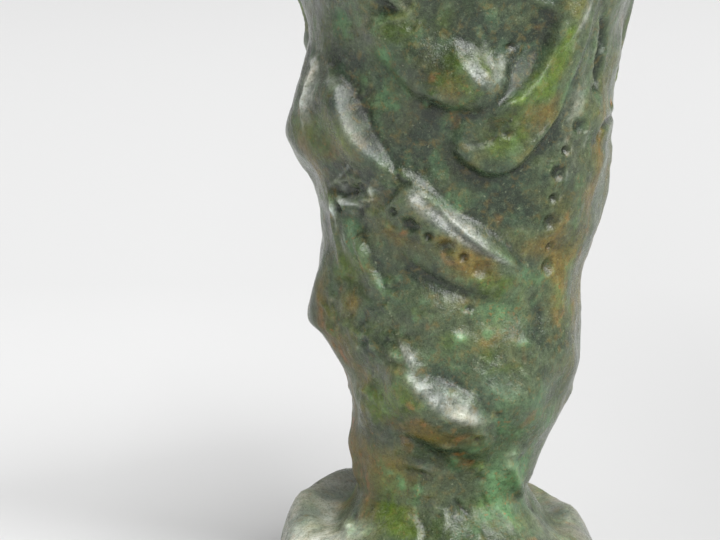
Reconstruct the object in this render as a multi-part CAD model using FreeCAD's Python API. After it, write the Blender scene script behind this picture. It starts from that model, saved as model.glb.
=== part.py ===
import FreeCAD, Part
import math
import os

# Bronze display plinth: a hollow lost-wax casting of gathered drapery on a round mound foot, closed at
# the top by a turned seat plate and clamped from below by an M4 rod. All lengths in millimetres.
# +Z is up, the front faces -Y, the origin is at the middle of the underside of the felt.

# ---------------------------------------------------------------- driving dimensions
FELT_T = 1.0            # felt ring under the foot
FELT_OUT_R = 20.3
FELT_IN_R = 15.0

STEM_TOP = 87.0         # upper face of the casting
NECK_Z = 14.0           # the column stands on the foot here
EDGE_R = 20.4           # lower rim of the foot
EDGE_Z = FELT_T

FOOT_BORE_R = 17.0      # wide recess in the underside
FOOT_BORE_TOP = 4.6
PLATE_BORE_R = 13.5     # recess for the clamping plate
SHOULDER_Z = 8.0        # shoulder that the clamping plate pulls against
MOUTH_R = 12.1          # opening in the top of the casting

SEAT_R = 20.0           # turned seat plate
SEAT_T = 5.0
SEAT_Z = STEM_TOP
TOTAL_H = SEAT_Z + SEAT_T
SPIGOT_R = 12.0
SPIGOT_L = 3.5
BOSS_R = 6.5
BOSS_Z = 75.0           # lower end of the boss
TAP_R = 1.65            # M4 thread for the exhibit, tapping size
TAP_DEPTH = 10.0
ROD_HOLE_R = 2.0        # blind hole that takes the tie rod
ROD_HOLE_DEPTH = 6.0

ROD_R = 1.98            # M4 tie rod, threads left plain
ROD_LOW = 1.6
ROD_HIGH = BOSS_Z + ROD_HOLE_DEPTH - 0.4

PLATE_R = 13.3          # clamping plate in the foot
PLATE_T = 2.0
PLATE_HOLE_R = 2.2
WASHER_R = 4.5
WASHER_T = 0.8
WASHER_HOLE_R = 2.15
SPRING_R = 3.6
SPRING_T = 0.9
NUT_AF = 7.0
NUT_H = 2.2             # thin M4 nut
NUT_HOLE_R = 2.0

DOWEL_R = 1.0
DOWEL_LEN = 6.0
DOWEL_PCR = 16.0        # radius of the circle the dowels stand on
DOWEL_Z = SEAT_Z - 3.5

PLUG_R = 1.5            # core-pin plugs: angle round from the front in degrees, height
PLUGS = [(158.0, 71.0), (-146.0, 52.0), (118.0, 47.0), (-168.0, 31.0), (150.0, 24.0), (-112.0, 73.0)]

# cavity left by the core: height, radius
CORE = [(SHOULDER_Z, 9.6), (11.0, 7.9), (14.0, 7.0), (20.0, 7.3), (26.0, 8.8), (32.0, 10.6), (38.0, 11.4),
        (45.0, 12.0), (52.0, 12.8), (60.0, 14.0), (68.0, 14.6), (75.0, 14.6), (80.0, 13.0)]
CORE_TOP = 80.0
CORE_TOP_R = 13.0

# ---------------------------------------------------------------- outer shape of the casting
ROUND = 96              # control points round the column
DZ = 2.5                # column height per unit of the lengthwise parameter
T_NECK = 5.0
Q_FOOT = 4.0            # unrolled length per unit of the parameter in the foot
T_TOP = T_NECK + (STEM_TOP - NECK_Z) / DZ
RREF = 16.0             # s = RREF * angle; s = 0 at the front, positive towards +X

# smooth column: z, left x, right x, front depth, back depth
BASE = [
 (8.0, -12.2, 11.2, 10.8, 10.8),
 (14.0, -11.8, 10.7, 10.4, 10.4),
 (20.0, -12.2, 12.0, 11.9, 10.9),
 (26.0, -12.6, 14.6, 14.6, 12.2),
 (32.0, -14.4, 16.2, 15.5, 13.4),
 (38.0, -15.6, 16.7, 15.0, 14.2),
 (45.0, -16.2, 18.0, 14.8, 15.0),
 (52.0, -17.2, 19.8, 15.6, 15.8),
 (60.0, -18.6, 20.6, 16.4, 16.6),
 (68.0, -18.8, 21.3, 17.0, 17.4),
 (76.0, -18.8, 23.0, 17.8, 18.6),
 (82.0, -21.2, 23.5, 20.0, 20.6),
 (87.0, -24.0, 24.0, 22.5, 22.5),
 (92.0, -24.6, 24.6, 23.0, 23.0),
]
# outline at the two sides: z, left x, right x
SIDES = [
 (10.0, -11.9, 11.0), (12.0, -11.6, 10.2), (14.0, -11.33, 9.99), (16.1, -12.08, 10.72), (18.0, -11.96, 11.08),
 (20.5, -12.33, 12.25), (23.0, -11.96, 13.32), (25.5, -11.81, 14.33), (26.8, -12.07, 14.76), (29.3, -12.36, 15.83),
 (31.8, -14.06, 16.57), (34.2, -15.94, 16.73), (35.5, -17.1, 16.7), (36.8, -17.28, 16.57), (38.0, -17.18, 16.35),
 (40.5, -17.04, 16.18), (43.0, -16.24, 16.31), (45.5, -15.66, 17.24), (48.0, -15.89, 18.3), (50.5, -16.08, 18.6),
 (54.3, -17.06, 19.32), (56.8, -18.58, 19.86), (58.0, -19.12, 19.7), (59.3, -19.64, 19.95), (61.0, -19.67, 20.3),
 (63.0, -19.29, 20.22), (65.5, -18.64, 20.43), (70.5, -17.3, 21.19), (75.5, -17.89, 21.85), (80.0, -20.0, 23.1),
 (84.0, -22.6, 23.7), (87.0, -24.0, 24.0), (92.0, -24.6, 24.6),
]
# foot profile round the base: angle in degrees, then (r, z) of the edge, flank, crest and valley
FOOT = [
 (-180, 21.2, 3.0, 21.0, 7.0, 17.6, 11.8, 13.0, 10.6),
 (-135, 21.2, 3.2, 21.1, 7.6, 18.0, 12.9, 13.2, 11.2),
 (-108, 21.2, 3.2, 21.0, 7.8, 18.9, 12.0, 13.6, 10.6),
 (-92, 21.2, 3.0, 20.9, 7.0, 18.0, 9.6, 14.0, 9.6),
 (-75, 21.2, 2.8, 20.9, 6.2, 18.0, 8.7, 14.2, 10.3),
 (-45, 21.0, 2.6, 20.0, 5.8, 16.6, 8.3, 13.2, 10.6),
 (0, 21.0, 2.6, 19.6, 5.6, 16.0, 8.1, 12.5, 10.5),
 (45, 21.0, 2.6, 19.4, 5.2, 15.8, 7.8, 12.4, 10.3),
 (72, 21.0, 2.6, 19.6, 4.9, 15.7, 7.2, 12.6, 9.9),
 (92, 21.0, 2.6, 20.0, 4.8, 16.4, 8.2, 13.0, 9.4),
 (112, 21.0, 2.6, 20.4, 5.0, 17.2, 9.6, 13.2, 9.7),
 (140, 21.1, 2.8, 20.7, 5.8, 17.2, 11.0, 13.1, 10.3),
 (180, 21.2, 3.0, 21.0, 7.0, 17.6, 11.8, 13.0, 10.6),
]

# folds: kind, width on the left of the line, width on its right, then (s, q, height) along it.
# R is rounded and C has a sharp crest. F has a flat facet on the left, whose slope is the first number,
# and is rounded on the right.
FOLDS = [
  ('R', 3.4, 3.2, [(-10.36, 77.84, 0.5), (-9.8, 75.89, 0.8), (-8.23, 74.05, 1.0), (-6.42, 72.3, 1.2),
     (-4.66, 70.66, 1.3), (-2.97, 69.22, 1.4), (-1.53, 67.99, 1.4), (-0.47, 66.86, 1.2), (0.47, 65.94, 0.7),
     (1.1, 65.12, 0.1)]),
  ('R', 2.4, 0.9, [(-11.24, 78.05, 0.1), (-10.43, 74.97, 0.15), (-8.73, 71.79, 0.2), (-7.42, 70.05, 0.3),
     (-6.36, 68.81, 0.4), (-5.42, 67.58, 0.5), (-4.6, 66.56, 0.7), (-3.35, 65.73, 0.9), (-1.97, 65.22, 1.0),
     (-0.66, 64.71, 1.0), (0.59, 64.61, 0.85), (1.41, 65.12, 0.5), (1.97, 65.94, 0.05)]),
  ('F', 0.38, 1.5, [(-1.78, 71.99, 0.05), (-1.03, 70.87, 0.5), (-0.34, 69.84, 0.95), (0.34, 68.71, 1.3),
     (0.91, 67.79, 1.6), (1.47, 66.76, 1.6), (2.22, 65.53, 1.0), (2.91, 64.5, 0.1)]),
  ('R', 3.2, 0.7, [(9.05, 77.54, 0.5), (8.8, 76.31, 0.7), (8.67, 74.56, 0.9), (8.48, 72.71, 1.0),
     (8.17, 70.87, 1.1), (7.8, 69.12, 1.1), (7.23, 67.89, 1.1), (6.48, 66.86, 1.1), (5.35, 65.53, 1.0),
     (4.1, 64.61, 0.8), (3.04, 63.99, 0.5), (2.35, 63.07, 0.05)]),
  ('R', 0.8, 4.2, [(13.06, 77.74, 0.5), (12.05, 74.87, 0.7), (11.93, 73.12, 0.8), (11.55, 71.38, 0.9),
     (11.11, 69.02, 0.9), (10.43, 66.97, 0.9), (10.05, 65.32, 0.9), (9.61, 63.58, 0.9), (8.67, 62.14, 1.0),
     (7.92, 61.01, 1.1), (6.98, 59.78, 1.2), (6.1, 58.76, 1.3), (5.29, 57.73, 1.5), (4.35, 56.91, 1.6),
     (3.29, 56.6, 1.7), (2.35, 56.7, 1.7), (1.47, 57.32, 1.6), (0.66, 57.93, 1.5), (0.03, 58.76, 1.3),
     (-0.16, 59.68, 1.0), (0.09, 60.81, 0.7), (0.47, 62.04, 0.4), (0.91, 62.96, 0.05)]),
  ('C', 1.6, 1.4, [(11.11, 78.26, 0.4), (10.24, 76.72, 0.9), (9.55, 74.87, 1.0), (9.17, 72.92, 0.8),
     (8.92, 70.97, 0.3)]),
  ('F', 1.6, 2.6, [(-15.25, 68.3, 0.2), (-13.87, 67.27, 1.0), (-12.8, 65.73, 1.6), (-12.12, 64.09, 2.05),
     (-11.49, 62.45, 2.4), (-10.8, 60.91, 2.5), (-9.99, 59.47, 2.2), (-8.99, 58.14, 1.7), (-7.92, 56.81, 1.0),
     (-6.67, 55.57, 0.1)]),
  ('R', 1.0, 1.0, [(-11.24, 66.45, -0.1), (-10.24, 64.09, -0.3), (-9.42, 61.73, -0.35), (-8.55, 59.68, -0.3),
     (-7.42, 57.73, -0.1)]),
  ('F', 1.3, 3.0, [(-6.17, 54.86, 0.1), (-5.54, 54.14, 1.3), (-4.98, 53.11, 2.1), (-3.79, 51.47, 2.2),
     (-2.35, 50.03, 1.9), (-0.72, 48.7, 1.4), (0.66, 47.57, 1.1), (1.97, 46.85, 1.0), (3.35, 46.03, 1.0),
     (4.79, 45.41, 0.9), (6.54, 44.49, 0.6), (8.67, 43.26, 0.05)]),
  ('F', 1.0, 0.4, [(-6.54, 56.29, 0.05), (-5.67, 55.68, 0.4), (-4.48, 54.65, 0.55), (-3.22, 53.21, 0.6),
     (-1.97, 51.67, 0.65), (-0.59, 50.14, 1.0), (0.72, 48.8, 1.5), (2.16, 47.57, 1.5), (3.6, 46.75, 1.2),
     (5.29, 45.72, 0.8), (7.42, 44.29, 0.05)]),
  ('R', 2.8, 0.9, [(-9.8, 50.96, 0.1), (-8.05, 49.11, 0.3), (-6.29, 47.16, 0.45), (-4.29, 45.41, 0.6),
     (-2.1, 43.98, 0.65), (0.16, 42.85, 0.6), (2.41, 42.23, 0.55), (4.73, 41.82, 0.4), (7.61, 41.41, 0.05)]),
  ('R', 0.9, 1.0, [(-8.55, 48.39, -0.05), (-6.54, 46.13, -0.2), (-4.41, 44.29, -0.35), (-2.1, 42.85, -0.42),
     (0.28, 41.82, -0.38), (2.6, 41.21, -0.25), (5.04, 40.9, -0.05)]),
  ('F', 0.42, 2.6, [(-7.48, 36.28, 0.05), (-6.67, 35.25, 0.35), (-5.98, 34.23, 0.55), (-5.42, 33.3, 0.65),
     (-4.98, 32.18, 0.5), (-4.35, 31.15, 0.05)]),
  ('F', 0.8, 4.2, [(-8.67, 32.79, 0.1), (-7.42, 31.97, 0.6), (-6.23, 30.84, 1.2), (-4.85, 29.51, 1.7),
     (-3.29, 28.28, 2.1), (-1.53, 27.45, 2.3), (0.28, 26.84, 2.2), (2.03, 26.22, 1.6), (3.66, 25.91, 0.9),
     (5.35, 26.12, 0.1)]),
  ('R', 3.2, 3.0, [(1.91, 32.79, 0.05), (2.79, 30.84, 0.35), (4.23, 28.99, 0.6), (6.36, 27.56, 0.75),
     (8.73, 27.35, 0.6), (11.36, 27.97, 0.15)]),
  ('R', 2.6, 1.0, [(-16.81, 24.07, 0.05), (-12.49, 24.07, 0.1), (-9.05, 23.96, 0.2), (-6.29, 24.38, 0.25),
     (-4.6, 23.96, 0.3), (-3.29, 23.14, 0.3), (-1.72, 22.63, 0.3), (0.28, 22.73, 0.25), (1.78, 23.35, 0.05)]),
  ('R', 0.8, 0.9, [(-9.11, 23.04, -0.05), (-6.04, 23.25, -0.15), (-4.54, 22.84, -0.3), (-2.97, 21.81, -0.35),
     (-1.16, 21.5, -0.25), (0.78, 22.12, -0.1), (2.1, 22.43, -0.02)]),
  ('R', 0.8, 0.8, [(14.12, 75.07, -0.1), (15.43, 73.02, -0.8), (16.0, 71.17, -1.2), (15.87, 69.33, -1.3),
     (16.25, 67.48, -1.3), (16.56, 65.84, -0.9), (14.87, 64.71, -0.1)]),
  ('R', 0.55, 0.55, [(30.27, 61.22, -0.1), (19.19, 61.01, -0.8), (17.31, 60.09, -0.8), (17.13, 58.86, -0.1)]),
  ('R', 0.7, 0.7, [(-16.87, 53.11, 0.1), (-15.87, 51.57, 0.55), (-16.81, 49.31, 0.6), (-16.5, 46.95, 0.6),
     (-16.25, 44.9, 0.4), (-15.69, 43.46, 0.1)]),
  ('F', 1.5, 1.2, [(-13.43, 47.77, 0.1), (-11.93, 46.95, 1.1), (-11.3, 45.62, 1.3), (-10.8, 43.87, 1.1),
     (-9.61, 42.13, 0.7), (-8.48, 40.59, 0.1)]),
  ('R', 1.6, 1.2, [(10.68, 22.32, 0.1), (10.74, 20.37, 0.5), (11.18, 18.53, 0.6), (13.56, 15.96, 0.5),
     (17.38, 13.29, 0.4), (18.38, 11.34, 0.3), (19.07, 9.19, 0.1)]),
  ('R', 1.6, 1.6, [(-16.69, 19.96, 0.1), (-15.12, 17.81, 0.4), (-14.06, 15.55, 0.5), (-15.43, 12.78, 0.5),
     (-17.25, 10.52, 0.4), (-17.38, 8.26, 0.1)]),
  ('R', 1.8, 1.8, [(-1.35, 18.83, 0.1), (-0.34, 16.37, 0.4), (0.53, 14.01, 0.6), (-0.41, 11.24, 0.3)]),
]

# soft hollows and swellings: s, q, half-width, half-height, turn in degrees, height
LUMPS = [
  (6.54, 72.2, 4.2, 5.4, 25, -1.4),
  (3.48, 64.61, 3.4, 3.0, 0, 1.15),
  (-7.86, 76.2, 1.7, 1.5, 0, -0.9),
  (-15.81, 61.53, 4.0, 5.5, 0, 0.9),
  (-13.31, 53.32, 3.4, 2.4, 20, -0.25),
  (-3.16, 59.06, 6.0, 4.5, -20, -0.7),
  (4.04, 51.16, 6.0, 3.6, -20, -0.6),
  (-11.93, 49.11, 1.6, 1.6, 0, -0.5),
  (-14.68, 37.2, 5.0, 4.0, 0, 0.4),
  (-0.22, 35.97, 6.5, 4.5, -30, 0.22),
  (11.24, 38.54, 1.8, 3.6, 0, -0.5),
  (-7.61, 29.92, 3.2, 3.6, -25, 0.8),
  (1.66, 38.03, 1.4, 1.6, 0, -0.2),
  (16.19, 45.62, 3.0, 6.0, 0, 0.3),
  (1.85, 19.86, 3.0, 1.6, 0, -0.35),
  (-7.48, 18.42, 3.0, 2.4, 0, -0.35),
]

# sides and back
BACK_FOLDS = [
 # back tongue, right of centre at the back
 ('R', 0.9, 4.5, [(49.0, 82.0, 0.6), (47.5, 74.0, 1.2), (45.5, 67.0, 1.5), (42.0, 60.5, 1.9), (38.0, 57.0, 2.1),
     (34.0, 58.0, 2.0), (30.5, 62.5, 1.6), (28.5, 69.0, 1.1), (28.0, 77.0, 0.7)]),
 # back tongue, left
 ('R', 0.9, 4.2, [(-27.5, 80.0, 0.5), (-29.5, 73.0, 1.2), (-33.0, 68.0, 1.7), (-37.5, 65.5, 2.0),
     (-41.5, 67.5, 1.8), (-44.5, 73.0, 1.2), (-46.0, 80.0, 0.6)]),
 # long fold round the back, falling from the left flank to the right
 ('C', 2.8, 3.4, [(-22.5, 52.5, 0.3), (-27.0, 55.5, 0.9), (-32.0, 57.0, 1.4), (-38.0, 56.0, 1.8),
     (-44.0, 52.5, 2.0), (-50.0, 48.0, 2.0), (-56.0, 44.0, 1.7), (-62.0, 41.5, 1.2), (-67.0, 40.5, 0.5)]),
 ('R', 0.9, 0.9, [(-34.0, 50.5, -0.3), (-41.0, 47.5, -0.8), (-48.0, 43.5, -1.0), (-55.0, 39.5, -0.9),
     (-61.0, 37.0, -0.4)]),
 # second fold, lower
 ('C', 4.0, 2.2, [(44.0, 36.5, 0.3), (40.0, 33.5, 1.0), (35.5, 30.0, 1.6), (30.5, 27.5, 1.7), (26.0, 26.5, 1.1),
     (22.0, 27.5, 0.3)]),
 ('C', 2.2, 3.8, [(-48.0, 34.5, 0.3), (-43.5, 32.0, 1.0), (-38.0, 29.0, 1.5), (-32.5, 27.5, 1.5),
     (-27.5, 28.5, 0.8), (-24.0, 30.5, 0.2)]),
 ('R', 0.9, 0.9, [(45.0, 27.0, -0.3), (39.0, 24.5, -0.8), (33.0, 22.5, -0.9), (27.0, 23.0, -0.4)]),
 ('R', 0.9, 0.9, [(-46.0, 25.5, -0.2), (-40.0, 23.5, -0.7), (-34.0, 22.5, -0.9), (-28.0, 23.5, -0.3)]),
 # upright folds of the neck, behind
 ('R', 1.8, 1.5, [(31.0, 24.0, 0.2), (32.5, 19.0, 0.6), (34.5, 15.0, 0.6), (38.0, 11.0, 0.3)]),
 ('R', 1.6, 1.8, [(-33.0, 22.5, 0.2), (-35.0, 18.5, 0.6), (-37.5, 14.5, 0.6), (-41.0, 11.0, 0.3)]),
 ('R', 1.8, 1.8, [(49.0, 24.0, 0.2), (50.0, 19.0, 0.7), (50.5, 14.0, 0.6), (51.5, 10.0, 0.3)]),
 # right flank, upright crease behind the lettered strip of the front
 ('R', 1.2, 2.6, [(27.5, 66.0, 0.2), (27.0, 59.0, 0.8), (26.0, 52.0, 0.9), (25.5, 45.0, 0.6), (25.5, 39.0, 0.2)]),
 # tucks under the collar
 ('R', 1.4, 1.4, [(20.0, 85.0, -0.8), (19.0, 80.5, -0.9), (18.5, 77.5, -0.3)]),
 ('R', 1.4, 1.4, [(-20.5, 85.0, -0.8), (-20.0, 80.5, -0.8), (-19.0, 77.0, -0.2)]),
 ('R', 1.4, 1.4, [(0.5, 85.5, -0.9), (1.5, 82.0, -0.9), (2.0, 79.0, -0.3)]),
 ('R', 1.5, 1.5, [(36.0, 85.0, -0.8), (36.5, 80.5, -0.9), (37.0, 76.0, -0.3)]),
 ('R', 1.5, 1.5, [(-37.0, 85.0, -0.8), (-37.5, 80.5, -0.8), (-38.0, 77.0, -0.2)]),
]
BACK_LUMPS = [
 (38.0, 45.0, 6.0, 4.0, 20, -0.9), (-44.0, 62.0, 3.0, 2.5, 0, -0.5), (-30.0, 46.0, 5.0, 4.0, -15, 0.5),
 (40.0, 68.0, 4.0, 5.0, 0, 0.5), (47.0, 40.0, 5.0, 3.5, 0, 0.5), (-34.0, 38.0, 5.0, 3.5, 0, -0.6),
 (30.0, 34.0, 4.0, 3.0, 0, 0.4), (-44.0, 44.0, 3.5, 2.2, 0, -0.5), (27.0, 76.0, 3.0, 4.0, 0, 0.5),
 # mound of the foot
 (-46.0, 5.0, 4.0, 3.5, 0, 0.7), (-36.0, 2.0, 4.0, 3.0, 0, -0.5), (-28.0, 4.0, 3.5, 3.0, 0, 0.5),
 (44.0, 4.0, 4.5, 3.0, 0, 0.6), (34.0, 2.5, 3.5, 3.0, 0, -0.5), (24.0, 3.0, 3.5, 3.5, 0, 0.5),
 (10.0, 3.5, 3.5, 3.0, 0, 0.6), (0.0, 1.0, 4.0, 2.6, 0, -0.4), (-10.0, 3.5, 3.5, 3.0, 0, 0.5),
     (-18.0, 1.0, 3.0, 2.6, 0, -0.4), (17.0, 0.0, 3.0, 2.6, 0, -0.4),
]
# mean radius of the column over height, used to measure along the surface
GIRTH = [(-8.0, 20.5), (-2.0, 21.0), (2.0, 20.5), (6.0, 17.5), (10.0, 13.3), (14.0, 10.9), (20.0, 11.6),
     (26.0, 13.2), (32.0, 14.8), (38.0, 15.5), (45.0, 16.2), (52.0, 17.1), (60.0, 18.1), (68.0, 18.7),
     (76.0, 19.6), (82.0, 21.5), (87.0, 23.2), (92.0, 23.5)]
# slow undulation left by the wax tool: waves round, waves per mm up, phase, height
SWELL = [(3, 0.19, 0.4, 0.16), (5, -0.31, 1.9, 0.13), (7, 0.47, 3.1, 0.10), (9, -0.62, 0.7, 0.08),
     (4, 0.83, 2.2, 0.08), (11, 0.28, 5.0, 0.07), (2, -0.98, 4.1, 0.06)]


def hermite(xs, ys, x):
    n = len(xs)
    if x <= xs[0]:
        return ys[0]
    if x >= xs[-1]:
        return ys[-1]
    i = 0
    while i < n - 2 and x >= xs[i + 1]:
        i += 1

    def slope(j):
        a = max(j - 1, 0)
        b = min(j + 1, n - 1)
        return (ys[b] - ys[a]) / (xs[b] - xs[a])
    h = xs[i + 1] - xs[i]
    t = (x - xs[i]) / h
    return ((2 * t ** 3 - 3 * t ** 2 + 1) * ys[i] + (t ** 3 - 2 * t ** 2 + t) * h * slope(i)
            + (-2 * t ** 3 + 3 * t ** 2) * ys[i + 1] + (t ** 3 - t ** 2) * h * slope(i + 1))


BASE_Z = [r[0] for r in BASE]
BASE_C = [[r[k] for r in BASE] for k in range(1, 5)]
SIDE_Z = [r[0] for r in SIDES]
SIDE_C = [[r[k] for r in SIDES] for k in range(1, 3)]


def column(th, z):
    xl, xr, yf, yb = [hermite(BASE_Z, c, z) for c in BASE_C]
    dl = hermite(SIDE_Z, SIDE_C[0], z) - xl
    dr = hermite(SIDE_Z, SIDE_C[1], z) - xr
    x = (xl + xr) / 2 + (xr - xl) / 2 * math.sin(th)
    y = (yb - yf) / 2 - (yb + yf) / 2 * math.cos(th)
    x += dl * math.exp(-((th + math.pi / 2) / 0.62) ** 2) + dr * math.exp(-((th - math.pi / 2) / 0.62) ** 2)
    return (x, y, z)


def foot_ring(th, k):
    if k == 0:
        r, z = EDGE_R, EDGE_Z
    elif k < 0:
        r, z = EDGE_R, EDGE_Z - 2.0
    else:
        a = max(-180.0, min(180.0, math.degrees(th)))
        i = 0
        while i < len(FOOT) - 2 and a >= FOOT[i + 1][0]:
            i += 1
        t = (a - FOOT[i][0]) / (FOOT[i + 1][0] - FOOT[i][0])
        t = t * t * (3 - 2 * t)
        r = FOOT[i][2 * k - 1] * (1 - t) + FOOT[i + 1][2 * k - 1] * t
        z = FOOT[i][2 * k] * (1 - t) + FOOT[i + 1][2 * k] * t
    return (r * math.sin(th), -r * math.cos(th), z)


def base_point(th, t):
    if t >= T_NECK:
        return column(th, NECK_Z + (t - T_NECK) * DZ)
    ring = [foot_ring(th, k) for k in range(-1, 5)] + [column(th, NECK_Z), column(th, NECK_Z + DZ)]
    i = max(0, min(4, int(math.floor(t))))
    f = t - i
    p0, p1, p2, p3 = ring[i], ring[i + 1], ring[i + 2], ring[i + 3]
    return tuple(0.5 * (2 * b + (c - a) * f + (2 * a - 5 * b + 4 * c - d) * f * f + (3 * b - a - 3 * c + d) * f ** 3)
                 for a, b, c, d in zip(p0, p1, p2, p3))


def q_of(t):
    return NECK_Z + (t - T_NECK) * DZ if t >= T_NECK else NECK_Z - (T_NECK - t) * Q_FOOT


GIRTH_Q = [g[0] for g in GIRTH]
GIRTH_R = [g[1] for g in GIRTH]


def stretch(q):
    return hermite(GIRTH_Q, GIRTH_R, q) / RREF


def prepare(folds):
    ready = []
    for kind, wl, wr, pts in folds:
        mid = sum(p[0] for p in pts) / len(pts)
        line = [(p[0] * stretch(p[1]), p[1], p[2]) for p in pts]
        reach = max(3.0 * wr, max(p[2] for p in pts) / wl + 2.5) if kind == 'F' else 3.0 * max(wl, wr)
        box = (min(p[0] for p in line) - reach, max(p[0] for p in line) + reach,
               min(p[1] for p in line) - reach, max(p[1] for p in line) + reach)
        ready.append((kind, wl, wr, mid, line, box))
    return ready


AROUND = 2 * math.pi * RREF
READY = prepare(FOLDS + BACK_FOLDS)
ALL_LUMPS = LUMPS + BACK_LUMPS
SOFT = 0.15             # rounding at the foot of a flat facet
ROUNDING = 0.4          # radius that softens the sharpest fold lines in the casting


def relief(s, q):
    k = stretch(q)
    total = 0.0
    for kind, wl, wr, mid, line, box in READY:
        x = ((s - mid + AROUND / 2) % AROUND - AROUND / 2 + mid) * k
        if not (box[0] < x < box[1] and box[2] < q < box[3]):
            continue
        best, side, h = 1e9, 1.0, 0.0
        for (ax, ay, ah), (bx, by, bh) in zip(line[:-1], line[1:]):
            dx, dy = bx - ax, by - ay
            l2 = dx * dx + dy * dy + 1e-12
            u = max(0.0, min(1.0, ((x - ax) * dx + (q - ay) * dy) / l2))
            ex, ey = x - ax - u * dx, q - ay - u * dy
            d = ex * ex + ey * ey
            if d < best:
                best, h = d, ah + u * (bh - ah)
                side = (dx * ey - dy * ex) / math.sqrt(l2 * d + 1e-12)
        d = math.sqrt(best)
        a = 0.5 + 0.5 * side
        w = wr + (wl - wr) * a
        if kind == 'R':
            total += h * math.exp(-(d / w) ** 2)
        elif kind == 'C':
            total += h * math.exp(-(math.sqrt(d * d + ROUNDING ** 2) - ROUNDING) / w) * math.exp(-(d / (2.6 * w)) ** 2)
        else:
            up = h - wl * (math.sqrt(d * d + ROUNDING ** 2) - ROUNDING)
            ramp = 0.5 * (up + math.sqrt(up * up + SOFT ** 2)) * math.exp(-(max(d - h / wl, 0.0) / 0.8) ** 2)
            total += a * ramp + (1 - a) * 0.5 * (h + math.sqrt(h * h + SOFT ** 2)) * math.exp(-(d / wr) ** 2)
    for s0, q0, a, b, turn, h in ALL_LUMPS:
        x = ((s - s0 + AROUND / 2) % AROUND - AROUND / 2) * k
        y = q - q0
        if abs(x) > 3 * max(a, b) or abs(y) > 3 * max(a, b):
            continue
        c, n = math.cos(math.radians(turn)), math.sin(math.radians(turn))
        total += h * math.exp(-((x * c + y * n) / a) ** 2 - ((y * c - x * n) / b) ** 2)
    for n, m, p, h in SWELL:
        total += h * math.sin(n * s / RREF + m * q + p)
    return total


def ease(x):
    x = max(0.0, min(1.0, x))
    return x * x * (3 - 2 * x)


def skin_point(th, t):
    p = base_point(th, t)
    e = 0.01
    pa = base_point(th + e, t)
    pb = base_point(th, min(t + e, T_TOP)) if t < T_TOP - e else base_point(th, t)
    pc = base_point(th, t - e) if t >= e else p
    du = [a - b for a, b in zip(pa, p)]
    dv = [a - b for a, b in zip(pb, pc)]
    n = (du[1] * dv[2] - du[2] * dv[1], du[2] * dv[0] - du[0] * dv[2], du[0] * dv[1] - du[1] * dv[0])
    ln = math.sqrt(sum(c * c for c in n)) or 1.0
    h = relief(th * RREF, q_of(t)) * ease((t - 0.3) / 1.2) * ease((T_TOP - t) / 1.0)
    return tuple(a + h * b / ln for a, b in zip(p, n))


def casting_skin():
    ts = [0.0, 0.35, 0.75, 1.2, 1.7, 2.2, 2.7, 3.15, 3.55, 3.95, 4.35, 4.75]
    steps = 68
    ts += [T_NECK + 0.15 + (T_TOP - T_NECK - 0.15) * i / steps for i in range(steps + 1)]
    rows = []
    for t in ts:
        rows.append([FreeCAD.Vector(*skin_point(2 * math.pi * i / ROUND - math.pi + 1e-6, t)) for i in range(ROUND)])
    for v in rows[0]:
        v.z = EDGE_Z
    for v in rows[-1]:
        v.z = STEM_TOP
    nv = len(rows)
    poles = [[rows[j][i] for j in range(nv)] for i in range(ROUND)]
    surf = Part.BSplineSurface()
    surf.buildFromPolesMultsKnots(poles, [1] * (ROUND + 1), [4] + [1] * (nv - 4) + [4],
                                  list(range(ROUND + 1)), list(range(nv - 2)), True, False, 3, 3)
    side = surf.toShape()
    rings = [e for e in side.Edges if e.isClosed()]
    caps = [Part.Face(Part.Wire([e])) for e in rings]
    shell = Part.Shell([side] + caps)
    shell.sewShape()
    solid = Part.Solid(shell)
    if solid.Volume < 0:
        solid.reverse()
    return solid


def cyl(r, z0, z1, x=0.0, y=0.0):
    return Part.makeCylinder(r, z1 - z0, FreeCAD.Vector(x, y, z0))


def turned(points):
    wire = Part.makePolygon([FreeCAD.Vector(r, 0, z) for r, z in points + points[:1]])
    return Part.Face(wire).revolve(FreeCAD.Vector(0, 0, 0), FreeCAD.Vector(0, 0, 1), 360)


def core_solid():
    curve = Part.BSplineCurve()
    curve.interpolate([FreeCAD.Vector(r, 0, z) for z, r in CORE])
    wire = Part.Wire([curve.toShape(),
                      Part.makeLine(FreeCAD.Vector(CORE[-1][1], 0, CORE[-1][0]), FreeCAD.Vector(0, 0, CORE[-1][0])),
                      Part.makeLine(FreeCAD.Vector(0, 0, CORE[-1][0]), FreeCAD.Vector(0, 0, CORE[0][0])),
                      Part.makeLine(FreeCAD.Vector(0, 0, CORE[0][0]), FreeCAD.Vector(CORE[0][1], 0, CORE[0][0]))])
    return Part.Face(wire).revolve(FreeCAD.Vector(0, 0, 0), FreeCAD.Vector(0, 0, 1), 360)


def save(name, shape):
    shape.exportStep("parts/" + name + ".step")
    print(name, "solids", len(shape.Solids), "valid", shape.isValid(), "volume", round(shape.Volume, 1),
          "z", round(shape.BoundBox.ZMin, 2), round(shape.BoundBox.ZMax, 2),
          "x", round(shape.BoundBox.XMin, 2), round(shape.BoundBox.XMax, 2),
          "y", round(shape.BoundBox.YMin, 2), round(shape.BoundBox.YMax, 2))


os.makedirs("parts", exist_ok=True)

# ---------------------------------------------------------------- the casting and its plugs
outer = casting_skin()
hollow = core_solid()
mouth = cyl(MOUTH_R, CORE_TOP, STEM_TOP + 1)
recess = cyl(FOOT_BORE_R, EDGE_Z - 1, FOOT_BORE_TOP).fuse(cyl(PLATE_BORE_R, EDGE_Z - 1, SHOULDER_Z))
stem = outer.cut(hollow).cut(mouth).cut(recess)

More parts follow.
